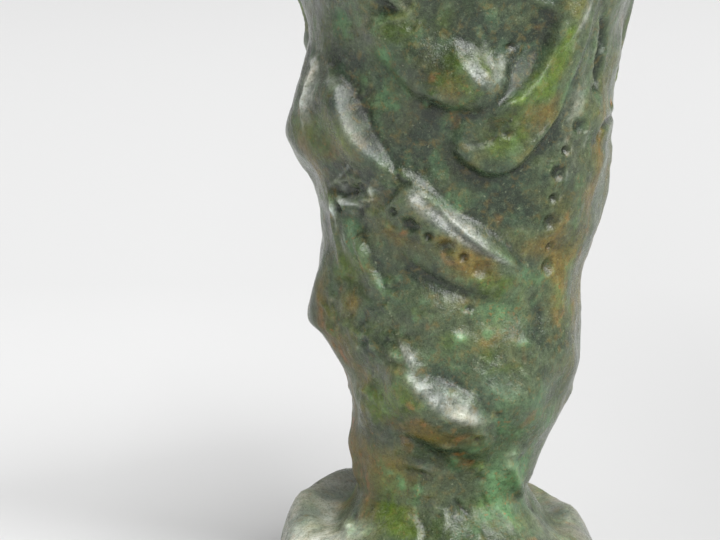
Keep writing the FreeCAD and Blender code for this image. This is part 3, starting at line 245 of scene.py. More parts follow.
FINE = [
  ('R', 0.28, 0.28, [(-13.06, 56.7, 0.1), (-12.99, 55.68, 0.35), (-12.8, 54.86, 0.1)]),
  ('R', 0.3, 0.3, [(-16.37, 53.73, 0.1), (-15.0, 54.34, 0.35), (-13.62, 54.65, 0.35), (-12.37, 55.06, 0.1)]),
  ('R', 0.25, 0.25, [(-12.3, 55.27, 0.3), (-11.49, 55.06, 0.15)]),
  ('R', 0.45, 0.35, [(-16.12, 53.11, 0.2), (-15.25, 52.5, 0.5), (-14.56, 51.88, 0.5), (-14.06, 51.26, 0.2)]),
  ('R', 0.4, 0.4, [(-16.62, 52.8, 0.3), (-16.12, 51.98, 0.45), (-15.94, 51.06, 0.2)]),
  ('R', 0.5, 0.5, [(-14.87, 51.88, 0.2), (-13.43, 51.88, 0.4), (-11.8, 52.19, 0.35), (-10.49, 52.7, 0.25)]),
  ('R', 0.4, 0.4, [(-13.06, 52.39, 0.1), (-11.62, 52.8, 0.3), (-10.36, 52.6, 0.1)]),
  ('R', 0.35, 0.35, [(-10.55, 53.21, 0.2), (-9.86, 54.04, 0.45), (-8.73, 54.75, 0.4), (-7.98, 54.86, 0.3),
     (-7.48, 54.34, 0.1)]),
  ('R', 0.5, 0.5, [(-13.06, 54.14, 0.15), (-11.3, 54.75, 0.35), (-9.67, 55.16, 0.3), (-8.36, 55.57, 0.1)]),
  ('R', 0.3, 0.3, [(-6.92, 55.98, 0.1), (-6.48, 56.19, 0.35), (-5.92, 55.78, 0.3)]),
  ('R', 0.35, 0.3, [(-8.48, 50.44, 0.1), (-8.05, 49.62, 0.3), (-7.11, 49.11, 0.3), (-6.17, 48.9, 0.1)]),
  ('R', 0.3, 0.3, [(-5.23, 50.03, 0.1), (-4.54, 50.75, 0.3), (-4.1, 51.06, 0.1)]),
  ('R', 0.3, 0.3, [(-4.54, 49.31, 0.1), (-3.98, 48.7, 0.35), (-4.41, 47.47, 0.1)]),
  ('R', 0.3, 0.3, [(1.91, 45.62, 0.1), (2.47, 44.8, 0.3), (2.22, 43.98, 0.1)]),
  ('R', 0.35, 0.35, [(5.17, 44.39, 0.1), (6.17, 43.57, 0.35), (7.04, 42.95, 0.1)]),
  ('R', 0.4, 0.35, [(-2.22, 47.47, 0.0), (-0.91, 46.34, 0.25), (0.22, 45.52, 0.1)]),
  ('R', 0.32, 0.3, [(8.67, 74.97, 0.1), (8.55, 73.33, 0.3), (8.3, 71.58, 0.3), (8.05, 69.94, 0.3),
     (7.61, 68.81, 0.3), (7.04, 67.68, 0.3), (6.36, 66.66, 0.1)]),
  ('R', 0.4, 0.35, [(5.35, 65.84, 0.15), (4.92, 65.43, 0.28), (4.1, 64.91, 0.2), (3.35, 64.4, 0.12),
     (2.85, 63.89, 0.05)]),
  ('R', 0.35, 0.35, [(2.35, 63.78, 0.1), (2.16, 63.17, 0.3), (1.97, 62.35, 0.2)]),
  ('R', 0.25, 0.25, [(9.86, 64.3, 0.1), (9.05, 62.76, 0.25), (8.05, 61.22, 0.25), (7.04, 60.09, 0.25),
     (6.17, 58.76, 0.1)]),
  ('R', 0.5, 0.4, [(0.28, 70.05, 0.1), (0.85, 69.33, 0.3), (1.53, 68.61, 0.3), (2.1, 67.79, 0.3), (2.6, 67.07, 0.1)]),
  ('R', 0.5, 0.5, [(1.41, 71.69, 0.1), (2.03, 70.56, 0.2), (2.54, 69.43, 0.2), (2.97, 68.3, 0.1)]),
  ('R', 0.3, 0.3, [(0.16, 71.28, 0.05), (0.97, 70.15, 0.15), (1.78, 69.02, 0.2), (2.6, 67.68, 0.1)]),
  ('R', 0.3, 0.3, [(0.16, 73.33, 0.1), (0.78, 72.41, 0.25), (1.47, 71.17, 0.2)]),
  ('R', 0.5, 0.4, [(-7.73, 76.92, 0.4), (-7.04, 76.51, 0.5), (-6.36, 75.89, 0.2)]),
  ('R', 0.5, 0.5, [(5.6, 76.72, 0.3), (6.42, 76.2, 0.45), (7.42, 76.0, 0.4), (8.11, 75.48, 0.2)]),
  ('R', 0.3, 0.3, [(7.73, 75.59, 0.1), (8.11, 75.18, 0.3), (8.36, 74.66, 0.1)]),
  ('R', 0.4, 0.4, [(-8.67, 73.94, 0.1), (-7.61, 74.66, 0.35), (-6.42, 74.87, 0.4), (-5.67, 75.38, 0.35),
     (-5.17, 76.51, 0.2)]),
  ('R', 0.3, 0.3, [(-6.36, 73.43, 0.1), (-5.35, 73.02, 0.3), (-4.79, 73.43, 0.3), (-4.66, 74.36, 0.1)]),
  ('R', 0.35, 0.3, [(-3.35, 66.04, 0.1), (-2.79, 65.73, 0.35), (-2.22, 65.43, 0.3), (-1.72, 64.91, 0.1)]),
  ('R', 0.65, 0.5, [(-20.38, 68.92, 0.2), (-18.57, 67.79, 0.45), (-18.19, 66.25, 0.5), (-18.25, 65.02, 0.5),
     (-18.44, 63.58, 0.5), (-18.44, 62.14, 0.4), (-17.75, 61.01, 0.1)]),
  ('R', 0.3, 0.3, [(-18.5, 68.4, 0.1), (-17.94, 69.02, 0.25), (-19.0, 69.63, 0.1)]),
  ('R', 0.35, 0.3, [(-14.56, 66.25, 0.05), (-13.81, 66.56, 0.1), (-12.99, 66.45, 0.1), (-12.43, 65.94, 0.05)]),
  ('C', 0.4, 0.8, [(-12.87, 66.66, 0.05), (-12.3, 66.15, 0.3), (-11.55, 65.12, 0.35), (-10.93, 63.89, 0.3),
     (-10.36, 62.55, 0.1)]),
  ('R', 0.35, 0.45, [(-12.12, 65.12, 0.1), (-11.62, 63.78, 0.3), (-11.05, 62.45, 0.3), (-10.49, 61.01, 0.3),
     (-9.74, 59.47, 0.25), (-8.92, 58.14, 0.1)]),
  ('R', 0.3, 0.3, [(-10.99, 63.27, 0.1), (-10.17, 61.63, 0.2), (-9.49, 60.09, 0.25), (-8.73, 58.65, 0.2),
     (-8.11, 57.42, 0.1)]),
  ('R', 0.3, 0.3, [(-16.19, 51.26, 0.1), (-15.62, 50.55, 0.3), (-15.75, 49.21, 0.3), (-16.0, 47.67, 0.1)]),
  ('R', 0.3, 0.35, [(-14.81, 47.06, 0.1), (-13.56, 46.44, 0.35), (-12.99, 45.21, 0.3), (-12.74, 44.59, 0.1)]),
  ('C', 0.35, 0.6, [(-11.99, 47.47, 0.1), (-11.05, 46.54, 0.4), (-10.49, 45.41, 0.4), (-10.11, 43.87, 0.25),
     (-9.36, 42.75, 0.1)]),
  ('R', 0.3, 0.3, [(-20.44, 39.15, 0.1), (-18.94, 38.54, 0.3), (-18.13, 38.03, 0.25), (-17.5, 37.0, 0.1)]),
  ('R', 0.3, 0.3, [(-15.94, 36.79, 0.1), (-14.43, 36.49, 0.3), (-13.31, 36.08, 0.25), (-12.87, 35.46, 0.1)]),
  ('R', 0.3, 0.3, [(-12.55, 35.36, 0.1), (-11.74, 35.87, 0.35), (-11.11, 35.25, 0.35), (-11.18, 34.33, 0.3),
     (-10.49, 33.82, 0.1)]),
  ('R', 0.3, 0.3, [(-17.94, 27.97, 0.1), (-16.0, 28.48, 0.35), (-14.62, 28.07, 0.2), (-13.68, 27.56, 0.1)]),
  ('C', 0.35, 0.4, [(-6.92, 35.56, 0.05), (-6.54, 35.05, 0.3), (-5.98, 34.13, 0.25), (-5.54, 33.41, 0.3),
     (-5.17, 32.59, 0.3), (-4.79, 31.66, 0.1)]),
  ('R', 0.6, 0.5, [(-8.99, 34.13, 0.1), (-8.11, 33.92, 0.35), (-7.11, 33.82, 0.35), (-6.36, 33.41, 0.2)]),
  ('R', 0.4, 0.35, [(-6.48, 31.97, 0.1), (-5.98, 31.35, 0.4), (-5.42, 30.74, 0.4), (-4.73, 30.23, 0.2)]),
  ('R', 0.6, 0.6, [(-3.91, 30.84, 0.1), (-2.97, 30.64, 0.35), (-2.1, 30.12, 0.3), (-1.22, 29.61, 0.1)]),
  ('R', 0.5, 0.5, [(-1.72, 29.92, 0.1), (-0.91, 29.71, 0.3), (-0.03, 29.1, 0.3), (0.91, 28.17, 0.2)]),
  ('R', 0.35, 0.35, [(0.91, 38.85, 0.2), (1.6, 39.15, 0.35), (1.85, 38.44, 0.35), (2.47, 37.51, 0.2)]),
  ('R', 0.5, 0.5, [(7.55, 34.84, 0.1), (8.8, 35.15, 0.35), (9.92, 34.54, 0.3), (10.61, 33.71, 0.1)]),
  ('R', 0.4, 0.4, [(8.73, 34.23, 0.1), (9.55, 33.51, 0.3), (10.55, 32.79, 0.1)]),
  ('R', 0.4, 0.4, [(8.11, 31.76, 0.1), (8.99, 31.05, 0.3), (9.8, 30.23, 0.1)]),
  ('R', 0.4, 0.4, [(3.54, 30.12, 0.1), (4.85, 29.2, 0.2), (6.23, 28.38, 0.2), (7.67, 28.07, 0.1)]),
  ('R', 0.5, 0.5, [(-7.23, 28.69, 0.1), (-6.17, 28.38, 0.3), (-5.23, 27.76, 0.3), (-4.92, 26.84, 0.1)]),
  ('R', 0.45, 0.4, [(2.22, 24.48, 0.1), (2.97, 24.89, 0.35), (3.91, 23.96, 0.1)]),
  ('R', 0.7, 0.6, [(9.74, 18.73, 0.2), (11.05, 18.94, 0.4), (12.8, 17.5, 0.4), (14.43, 15.86, 0.35),
     (16.62, 14.42, 0.1)]),
  ('R', 0.5, 0.5, [(10.17, 20.07, 0.1), (11.05, 20.68, 0.3), (12.99, 20.58, 0.2)]),
  ('R', 0.22, 0.22, [(1.66, 14.83, -0.2), (2.66, 14.01, -0.55), (3.54, 13.5, -0.55), (4.35, 13.09, -0.2)]),
  ('R', 0.2, 0.2, [(6.23, 15.45, -0.1), (7.36, 14.52, -0.4), (8.55, 13.39, -0.3)]),
  ('R', 0.3, 0.3, [(5.17, 17.5, -0.1), (6.29, 17.4, -0.35), (7.17, 17.4, -0.1)]),
  ('R', 0.5, 0.45, [(-8.05, 19.65, 0.1), (-6.42, 19.35, 0.35), (-4.79, 19.04, 0.3), (-2.66, 18.73, 0.2),
     (-1.22, 18.12, 0.1)]),
  ('R', 0.3, 0.3, [(-5.98, 16.17, 0.1), (-5.1, 16.37, 0.3), (-4.85, 15.65, 0.3), (-5.73, 15.24, 0.1)]),
  ('R', 0.6, 0.6, [(-20.07, 10.21, 0.2), (-17.0, 9.7, 0.5), (-15.81, 8.47, 0.4)]),
  ('R', 0.5, 0.5, [(-7.29, 12.47, 0.1), (-5.98, 11.96, 0.3), (-5.17, 11.14, 0.3), (-5.17, 10.11, 0.2)]),
  ('R', 0.5, 0.5, [(9.92, 12.98, 0.1), (11.18, 12.16, 0.35), (11.43, 11.14, 0.3), (11.74, 10.21, 0.1)]),
  ('R', 0.6, 0.6, [(3.73, 11.34, 0.1), (4.66, 10.62, 0.4), (4.79, 9.7, 0.3)]),
  ('R', 0.6, 0.6, [(15.62, 12.88, 0.1), (18.13, 12.57, -0.2), (21.2, 11.75, -0.2)]),
  ('R', 0.4, 0.4, [(-0.91, 21.6, 0.1), (0.34, 20.58, 0.3), (1.53, 19.55, 0.2)]),
]
PIMPLES = [
  (5.54, 34.33, 2.6, 1.9, 0, -0.28),
  (2.66, 34.43, 2.4, 1.9, 0, -0.18),
  (5.42, 12.88, 3.2, 1.6, 0, -0.3),
  (4.1, 61.12, 0.55, 0.35, 10, -0.55),
  (4.23, 60.3, 0.7, 0.3, 0, 0.3),
  (4.1, 71.28, 0.5, 0.4, 0, -0.5),
  (4.1, 71.69, 0.5, 0.25, 0, 0.35),
  (5.17, 70.76, 0.25, 0.6, 0, 0.3),
  (-3.35, 64.5, 0.35, 0.6, 0, 0.35),
  (-2.6, 65.63, 0.5, 0.3, -30, 0.3),
  (-11.05, 65.32, 0.3, 0.3, 0, 0.3),
  (-10.43, 65.32, 0.3, 0.3, 0, 0.3),
  (-12.49, 73.02, 0.3, 0.3, 0, 0.3),
  (-9.67, 67.99, 0.2, 0.2, 0, 0.3),
  (-9.05, 61.32, 0.2, 0.2, 0, 0.35),
  (-8.61, 61.12, 0.2, 0.2, 0, 0.3),
  (-7.8, 57.01, 0.5, 0.3, 0, 0.3),
  (-6.61, 55.78, 0.3, 0.3, 0, -0.4),
  (-9.8, 53.42, 0.6, 0.6, 0, 0.45),
  (-14.06, 51.16, 0.7, 0.4, 0, 0.3),
  (-15.18, 51.16, 0.4, 0.4, 0, -0.4),
  (-11.24, 54.34, 0.4, 0.4, 0, -0.3),
  (-12.3, 53.42, 0.7, 0.5, 0, -0.3),
  (-6.1, 46.34, 0.22, 0.22, 0, 0.3),
  (-4.16, 57.32, 0.2, 0.2, 0, 0.3),
  (-8.23, 42.44, 0.4, 0.35, 0, 0.35),
  (-8.55, 39.36, 0.35, 0.35, 0, 0.4),
  (-4.98, 38.95, 0.25, 0.25, 0, 0.3),
  (-4.73, 38.33, 0.5, 0.5, 0, 0.15),
  (-8.17, 35.97, 0.3, 0.3, 0, 0.35),
  (-10.86, 36.08, 0.5, 0.5, 0, 0.2),
  (0.16, 36.18, 0.85, 0.6, -20, 0.4),
  (-0.28, 33.61, 0.3, 0.3, 0, 0.3),
  (1.35, 39.67, 0.45, 0.45, 0, -0.4),
  (-9.42, 26.43, 0.5, 0.4, 0, 0.2),
  (-4.85, 33.3, 0.6, 0.5, 0, -0.2),
  (2.85, 23.96, 0.3, 0.25, 0, -0.45),
  (5.1, 26.74, 0.35, 0.3, 0, -0.35),
  (-13.99, 21.19, 0.25, 0.25, 0, 0.35),
  (-17.81, 19.65, 0.25, 0.25, 0, 0.25),
  (-2.6, 15.86, 0.3, 0.3, 0, 0.35),
  (-12.93, 11.96, 0.3, 0.3, 0, 0.3),
  (-14.31, 9.19, 0.3, 0.3, 0, 0.35),
  (-6.98, 12.27, 0.4, 0.3, 0, 0.3),
  (-1.22, 12.78, 0.5, 0.3, 0, -0.3),
  (-1.91, 13.5, 0.9, 0.6, 0, 0.25),
  (-7.36, 22.53, 0.5, 0.3, -20, 0.35),
  (-0.97, 22.94, 0.8, 0.35, 0, 0.4),
  (-9.36, 21.19, 0.4, 0.3, 0, 0.3),
  (-17.13, 11.14, 0.4, 0.4, 0, -0.35),
  (-15.06, 9.39, 0.3, 0.3, 0, 0.2),
  (16.0, 68.92, 0.5, 0.8, 0, 0.3),
  (16.12, 70.46, 0.4, 0.5, 0, 0.3),
  (17.0, 69.74, 0.5, 0.6, 0, 0.3),
  (15.81, 62.66, 0.3, 0.4, 0, 0.3),
  (22.51, 62.66, 0.3, 0.5, 0, 0.25),
  (7.86, 40.39, 0.6, 0.9, 0, 0.2),
  (5.1, 43.26, 0.8, 0.5, -30, 0.2),
  (9.99, 40.18, 0.5, 1.2, 0, -0.25),
  (11.8, 41.21, 0.5, 0.8, 0, -0.2),
  (-11.93, 50.85, 0.5, 0.5, 0, -0.3),
  (-3.16, 49.83, 0.4, 0.4, 0, 0.25),
  (7.61, 45.82, 0.4, 0.4, 0, 0.3),
  (3.6, 53.93, 0.25, 0.25, 0, 0.2),
  (5.23, 53.93, 0.2, 0.2, 0, 0.25),
  (5.79, 53.93, 0.2, 0.2, 0, 0.2),
  (1.78, 53.32, 0.3, 0.3, 0, 0.2),
  (-10.55, 42.23, 0.3, 0.3, 0, 0.3),
  (-8.05, 41.1, 0.6, 0.3, -40, 0.3),
  (2.29, 43.05, 0.6, 0.3, -20, 0.25),
  (5.23, 18.63, 0.4, 0.3, 0, 0.3),
  (5.85, 19.04, 0.3, 0.25, 0, 0.3),
  (-18.57, 35.77, 0.5, 0.5, 0, 0.2),
  (-19.5, 33.41, 0.4, 0.4, 0, 0.2),
  (-25.33, 27.04, 0.4, 0.4, 0, 0.15),
]
PUNCH = [
  (-7.17, 51.57, 0.5, 'dot'),
  (-5.23, 50.14, 0.85, 'bowl'),
  (-3.48, 48.8, 0.5, 'dot'),
  (-1.6, 47.47, 0.85, 'bowl'),
  (0.28, 46.13, 0.5, 'dot'),
  (2.41, 44.7, 0.85, 'bowl'),
  (12.99, 61.32, 0.95, 'bowl'),
  (11.3, 58.45, 0.5, 'dot'),
  (10.24, 55.78, 0.9, 'bowl'),
  (10.05, 52.7, 0.5, 'dot'),
  (10.3, 49.72, 0.9, 'bowl'),
  (11.18, 46.54, 0.5, 'dot'),
  (11.68, 43.98, 0.85, 'bowl'),
]
ROUGH = [
  (-12.05, 53.21, 4.0, 3.0, 1.0),
  (1.97, 69.22, 3.2, 3.6, 0.7),
  (-2.47, 28.89, 5.0, 2.6, 1.0),
  (-14.12, 35.46, 4.5, 6.0, 1.0),
  (-13.06, 28.17, 3.4, 5.0, 0.9),
  (-16.81, 64.61, 3.0, 5.0, 0.6),
  (-10.74, 62.35, 3.0, 6.0, 0.35),
  (-2.22, 48.39, 5.5, 2.6, 0.4),
  (6.73, 75.28, 6.0, 3.0, 0.5),
  (-6.54, 75.69, 4.0, 2.6, 0.5),
  (14.87, 69.02, 2.5, 5.0, 0.7),
  (2.22, 12.27, 9.0, 3.6, 0.45),
  (-16.69, 9.39, 4.0, 2.6, 0.6),
  (9.36, 18.42, 4.0, 4.0, 0.35),
  (9.42, 33.0, 3.0, 4.0, 0.35),
  (0.91, 47.67, 4.5, 2.0, 0.45),
  (-6.54, 18.53, 4, 3, 0.3),
]
# patches on the front: patina tones, matte patches that raise roughness, dim patches that darken or lighten, and pale
# and glint patches that are painted highlights
ZONES = [
  ('dim', -2.16, 67.99, 5.25, 2.25, -38, 0.45),
  ('dim', -4.04, 65.02, 5.0, 3.0, -20, 0.22),
  ('dim', -14.68, 62.55, 2.5, 5.5, 0, 0.3),
  ('dim', -11.36, 63.78, 1.75, 3.5, 20, 0.32),
  ('dim', 10.8, 53.73, 2.25, 8.0, -5, 0.3),
  ('dim', 4.48, 61.01, 3.25, 2.75, 20, 0.15),
  ('dim', -12.87, 33.82, 3.0, 6.25, 0, -0.38),
  ('dim', -9.24, 17.09, 4.75, 5.5, 0, -0.36),
  ('dim', -27.14, 7.54, 4.25, 4.25, 0, -0.4),
  ('dim', 11.18, 16.27, 4.25, 4.75, 0, -0.2),
  ('pale', -14.31, 53.73, 0.38, 1.0, 20, 0.75),
  ('pale', -11.18, 52.29, 1.25, 0.33, 22, 0.65),
  ('pale', -8.8, 55.06, 0.75, 0.4, -20, 0.55),
  ('pale', -12.99, 50.65, 1.12, 0.33, -16, 0.55),
  ('pale', -11.18, 55.98, 0.88, 0.25, -30, 0.5),
  ('glint', -12.43, 56.4, 0.75, 0.2, 40, 0.55),
  ('glint', -9.92, 52.6, 0.75, 0.2, 20, 0.5),
  ('lime', -10.99, 17.5, 3.75, 3.0, 0, 0.3),
  ('verd', -8.17, 16.37, 2.75, 2.25, 0, 0.2),
  ('pale', -5.04, 13.6, 0.5, 0.38, 0, 0.3),
  ('dark', -3.41, 58.76, 3.75, 1.5, -20, 0.25),
  ('dark', -12.3, 74.05, 1.5, 1.75, 0, 0.25),
  ('verd', -10.49, 69.43, 1.75, 2.25, -30, 0.3),
  ('verd', -7.04, 64.81, 2.0, 1.75, -30, 0.3),
  ('pale', -2.66, 18.83, 0.62, 0.38, -20, 0.3),
  ('pale', -4.79, 19.24, 0.75, 0.25, -10, 0.3),
  ('grey', -4.04, 18.73, 1.75, 1.0, 0, 0.3),
  ('wax', 5.79, 68.61, 1.62, 3.25, -28, -0.9),
  ('pale', 5.79, 68.61, 1.62, 3.25, -28, -0.9),
  ('verd', 5.79, 68.81, 1.5, 2.75, -28, 0.35),
  ('lime', 6.04, 67.38, 1.25, 2.25, -30, 0.3),
  ('grey', 5.79, 68.81, 1.25, 2.5, -28, -0.4),
  ('pale', -0.03, 69.43, 1.12, 1.0, -50, -0.3),
  ('wax', -0.47, 70.25, 1.12, 1.0, -50, -0.4),
  ('lime', -1.53, 65.84, 1.75, 0.75, -24, 0.2),
  ('ochre', -18.94, 61.63, 1.25, 2.5, 0, 0.4),
  ('lime', -19.69, 59.68, 1.0, 1.75, 0, 0.4),
  ('ochre', -25.89, 24.68, 1.25, 3.75, 0, 0.4),
  ('ochre', -17.5, 36.59, 1.25, 2.0, 0, 0.35),
  ('matte', 6.04, 68.81, 1.5, 3.0, -28, 0.95),
  ('dark', 6.04, 68.81, 1.25, 2.75, -28, 0.8),
  ('wax', 6.04, 68.81, 1.5, 3.0, -28, -0.6),
  ('matte', 6.1, 67.07, 1.25, 3.0, -40, 0.8),
  ('pale', 5.6, 68.61, 1.12, 2.5, -28, -0.5),
  ('glint', 5.6, 68.61, 1.12, 2.5, -28, -0.5),
  ('wax', 1.35, 70.15, 2.0, 0.38, -60, -0.9),
  ('pale', 1.35, 70.15, 2.0, 0.38, -60, -0.7),
  ('glint', 1.47, 69.94, 1.5, 0.3, -60, -0.3),
  ('matte', 1.35, 70.15, 2.0, 0.38, -60, 0.9),
  ('lime', 1.35, 70.15, 2.0, 0.42, -60, 0.6),
  ('matte', 1.85, 59.68, 2.75, 0.88, 0, 0.9),
  ('matte', 3.29, 60.19, 1.75, 1.0, 0, 0.5),
  ('lime', 0.34, 36.28, 0.62, 0.45, -10, 0.6),
  ('pale', -7.42, 33.82, 0.88, 0.33, -18, 0.9),
  ('lime', -7.42, 33.71, 0.88, 0.5, -18, 0.5),
  ('ochre', -14.43, 31.56, 2.25, 3.0, 0, 0.4),
  ('lime', -19.32, 30.12, 1.75, 2.5, 0, 0.4),
  ('ochre', -8.05, 31.87, 1.75, 1.25, 0, 0.4),
  ('matte', -20.01, 33.92, 3.75, 6.25, 24, 0.8),
  ('matte', -21.13, 20.78, 3.25, 8.75, 0, 0.8),
  ('matte', -20.19, 38.85, 2.0, 3.75, 0, 0.6),
  ('matte', -17.94, 60.3, 2.75, 3.25, 0, 0.6),
  ('dark', -9.42, 29.4, 1.12, 0.88, -20, 0.5),
  ('pale', -5.85, 32.79, 0.88, 0.17, -64, 0.5),
  ('pale', -15.31, 38.85, 0.31, 0.19, 0, 0.5),
  ('pale', -17.0, 39.36, 0.31, 0.25, 0, 0.5),
  ('pale', -18.31, 38.13, 0.25, 0.25, 0, 0.45),
  ('pale', -0.53, 50.24, 4.5, 0.5, -35, 0.5),
  ('glint', -2.35, 51.06, 2.0, 0.31, -38, 0.35),
  ('pale', 1.6, 48.6, 2.0, 0.38, -34, 0.35),
  ('wax', -0.28, 50.03, 4.5, 1.0, -35, 0.5),
  ('dark', -11.68, 64.91, 1.0, 0.31, -62, 0.6),
  ('dark', -10.61, 62.76, 1.25, 0.31, -70, 0.55),
  ('dark', -9.61, 60.3, 1.25, 0.31, -58, 0.5),
  ('dark', -11.43, 63.27, 0.75, 0.38, -70, 0.5),
  ('dark', -8.8, 58.86, 0.88, 0.31, -50, 0.5),
  ('matte', -9.99, 61.42, 1.25, 2.5, 20, 0.35),
  ('dark', 11.18, 54.86, 1.5, 7.5, -8, 0.22),
  ('verd', -12.18, 16.58, 3.75, 3.75, 0, 0.18),
  ('grey', -14.24, 23.14, 2.5, 3.75, 0, 0.22),
  ('grey', -1.97, 40.8, 3.75, 1.75, 0, 0.15),
  ('dark', -15.12, 35.97, 0.62, 0.5, 0, 0.5),
  ('dark', -12.8, 37.72, 0.62, 0.38, -30, 0.4),
  ('pale', -13.87, 36.79, 0.38, 0.25, 0, 0.5),
  ('pale', -12.18, 35.87, 0.38, 0.25, -40, 0.5),
  ('pale', -16.87, 34.23, 0.31, 0.25, 0, 0.45),
  ('pale', -10.99, 34.54, 0.38, 0.25, 0, 0.45),
  ('pale', -16.87, 37.1, 0.31, 0.25, 0, 0.4),
  ('pale', -16.75, 32.48, 0.38, 0.25, -60, 0.45),
  ('pale', -12.93, 32.38, 0.38, 0.25, 0, 0.4),
  ('pale', -9.61, 36.59, 0.38, 0.2, -30, 0.35),
  ('pale', -7.92, 37.72, 0.31, 0.2, 0, 0.3),
  ('pale', -13.49, 34.02, 0.31, 0.2, 0, 0.4),
  ('dark', -11.55, 33.61, 0.75, 0.38, -40, 0.5),
  ('dark', -9.49, 35.15, 0.75, 0.38, 0, 0.3),
  ('pale', -1.6, 45.52, 1.5, 0.62, -20, 0.3),
  ('ochre', 2.72, 45.62, 2.0, 1.0, -30, 0.4),
  ('pale', 11.36, 59.68, 0.5, 1.25, -10, 0.35),
  ('pale', 10.3, 54.24, 0.38, 1.0, -5, 0.35),
  ('pale', 10.24, 50.96, 0.38, 0.88, 0, 0.3),
  ('dark', 12.43, 52.8, 0.5, 3.0, 0, 0.35),
  ('dark', 13.49, 47.36, 0.5, 2.5, 0, 0.3),
  ('rust', -23.26, 21.71, 2.0, 6.25, 0, 0.7),
  ('rust', -26.14, 27.56, 1.75, 3.75, 0, 0.65),
  ('rust', -19.25, 37.51, 1.75, 3.25, 0, 0.42),
  ('rust', -19.44, 32.59, 2.0, 3.0, 30, 0.45),
  ('rust', -16.19, 16.47, 2.0, 3.0, 0, 0.7),
  ('rust', 14.75, 35.97, 1.75, 5.0, 0, 0.4),
  ('rust', 17.63, 46.75, 1.25, 5.0, 0, 0.5),
  ('rust', 5.29, 36.28, 2.75, 1.75, 0, 0.08),
  ('pale', 12.37, 63.07, 1.12, 2.5, -14, 0.45),
  ('pale', -1.53, 28.79, 3.25, 1.12, -32, 0.2),
  ('lime', -2.54, 23.96, 2.25, 1.0, -10, 0.25),
  ('lime', 9.74, 17.29, 2.5, 2.25, 0, 0.3),
  ('dark', 0.47, 52.8, 3.0, 1.75, -10, 0.3),
  ('dark', -3.1, 60.09, 2.5, 1.75, -20, 0.3),
  ('dark', -11.24, 69.33, 1.75, 2.25, 0, 0.3),
  ('ochre', -20.13, 20.17, 1.5, 5.0, 0, 0.6),
  ('ochre', -25.52, 27.04, 1.25, 3.25, 0, 0.5),
  ('dark', -24.33, 62.66, 1.0, 4.5, 0, 0.55),
  ('lime', -16.19, 59.58, 2.0, 2.0, 0, 0.6),
  ('ochre', -15.31, 58.24, 1.75, 1.25, -20, 0.4),
  ('lime', -24.2, 55.98, 1.5, 1.5, 0, 0.4),
  ('dark', -12.62, 63.68, 1.0, 2.5, -10, 0.5),
  ('dark', -13.87, 69.12, 1.75, 1.5, 0, 0.35),
  ('glint', -19.25, 67.68, 1.12, 0.31, -100, 0.7),
  ('glint', -18.13, 64.3, 1.75, 0.38, -98, 0.6),
  ('lime', -13.68, 27.76, 2.25, 1.75, 0, 0.4),
  ('ochre', -11.3, 25.2, 2.25, 1.0, -20, 0.4),
  ('dark', -15.25, 30.64, 1.25, 1.25, 0, 0.4),
  ('ochre', -14.68, 37.0, 1.75, 2.0, 0, 0.4),
  ('glint', -18.82, 67.99, 1.0, 1.25, -84, 0.8),
  ('glint', -17.75, 65.63, 2.0, 1.5, -96, 0.85),
  ('glint', -17.69, 62.96, 1.12, 1.12, -92, 0.55),
  ('glint', -13.99, 55.16, 1.25, 0.23, 35, 0.8),
  ('glint', -13.43, 51.88, 1.62, 0.3, -4, 0.85),
  ('glint', -9.42, 54.04, 1.0, 0.3, -28, 0.6),
  ('glint', -15.94, 50.24, 1.88, 0.33, -86, 0.8),
  ('glint', -11.68, 51.57, 0.75, 0.23, 30, 0.5),
  ('glint', -13.81, 53.83, 1.12, 0.19, 20, 0.5),
  ('glint', -9.99, 51.88, 0.62, 0.2, -60, 0.5),
  ('glint', -14.68, 47.36, 1.12, 0.25, -78, 0.6),
  ('glint', -13.62, 45.21, 0.88, 0.25, -60, 0.5),
  ('glint', -0.03, 48.39, 3.0, 0.28, -33, 0.5),
  ('glint', 3.73, 46.13, 1.75, 0.23, -30, 0.55),
  ('glint', 0.47, 68.92, 1.88, 0.23, -54, 0.6),
  ('glint', -5.73, 33.71, 1.62, 0.19, -62, 0.6),
  ('glint', 11.36, 75.69, 1.75, 0.38, -115, 0.45),
  ('glint', 1.91, 70.15, 0.62, 0.2, -40, 0.5),
  ('glint', 3.73, 67.79, 0.5, 0.17, 50, 0.45),
  ('glint', 2.85, 68.71, 0.62, 0.16, -60, 0.45),
  ('glint', 14.06, 60.5, 0.62, 0.17, -20, 0.5),
  ('glint', 11.62, 62.35, 0.88, 0.15, 40, 0.4),
  ('glint', 16.56, 70.15, 0.62, 0.17, -80, 0.5),
  ('dark', -12.99, 53.11, 1.75, 0.75, -10, 0.5),
  ('dark', -10.17, 55.27, 1.5, 0.62, -20, 0.4),
  ('dark', -15.18, 53.21, 0.5, 1.0, 0, 0.3),
  ('verd', -13.43, 47.77, 1.25, 2.25, 10, 0.6),
  ('pale', -13.24, 48.29, 0.75, 1.75, 14, 0.35),
  ('lime', -2.35, 69.94, 3.25, 1.25, -38, -0.3),
  ('dark', -1.66, 68.61, 3.0, 1.12, -38, 0.35),
  ('dark', 3.6, 61.73, 3.0, 1.5, 20, 0.3),
  ('grey', 0.53, 65.94, 1.75, 0.75, 10, 0.4),
  ('dark', -8.42, 66.66, 2.25, 2.25, -20, 0.3),
  ('dark', 0.03, 72.61, 2.25, 2.0, -20, 0.3),
  ('dark', -1.85, 71.69, 1.75, 1.25, -30, 0.25),
  ('dark', 9.86, 61.53, 0.62, 2.75, -22, 0.5),
  ('dark', 15.81, 58.04, 0.62, 3.25, -10, 0.45),
  ('dark', 8.67, 55.57, 0.62, 2.25, -12, 0.45),
  ('grey', 12.62, 57.22, 1.0, 3.25, -12, 0.5),
  ('pale', 14.43, 59.47, 0.38, 1.5, -12, 0.5),
  ('pale', 11.43, 55.37, 0.25, 0.88, -6, 0.5),
  ('pale', 11.49, 49.72, 0.25, 0.88, 0, 0.45),
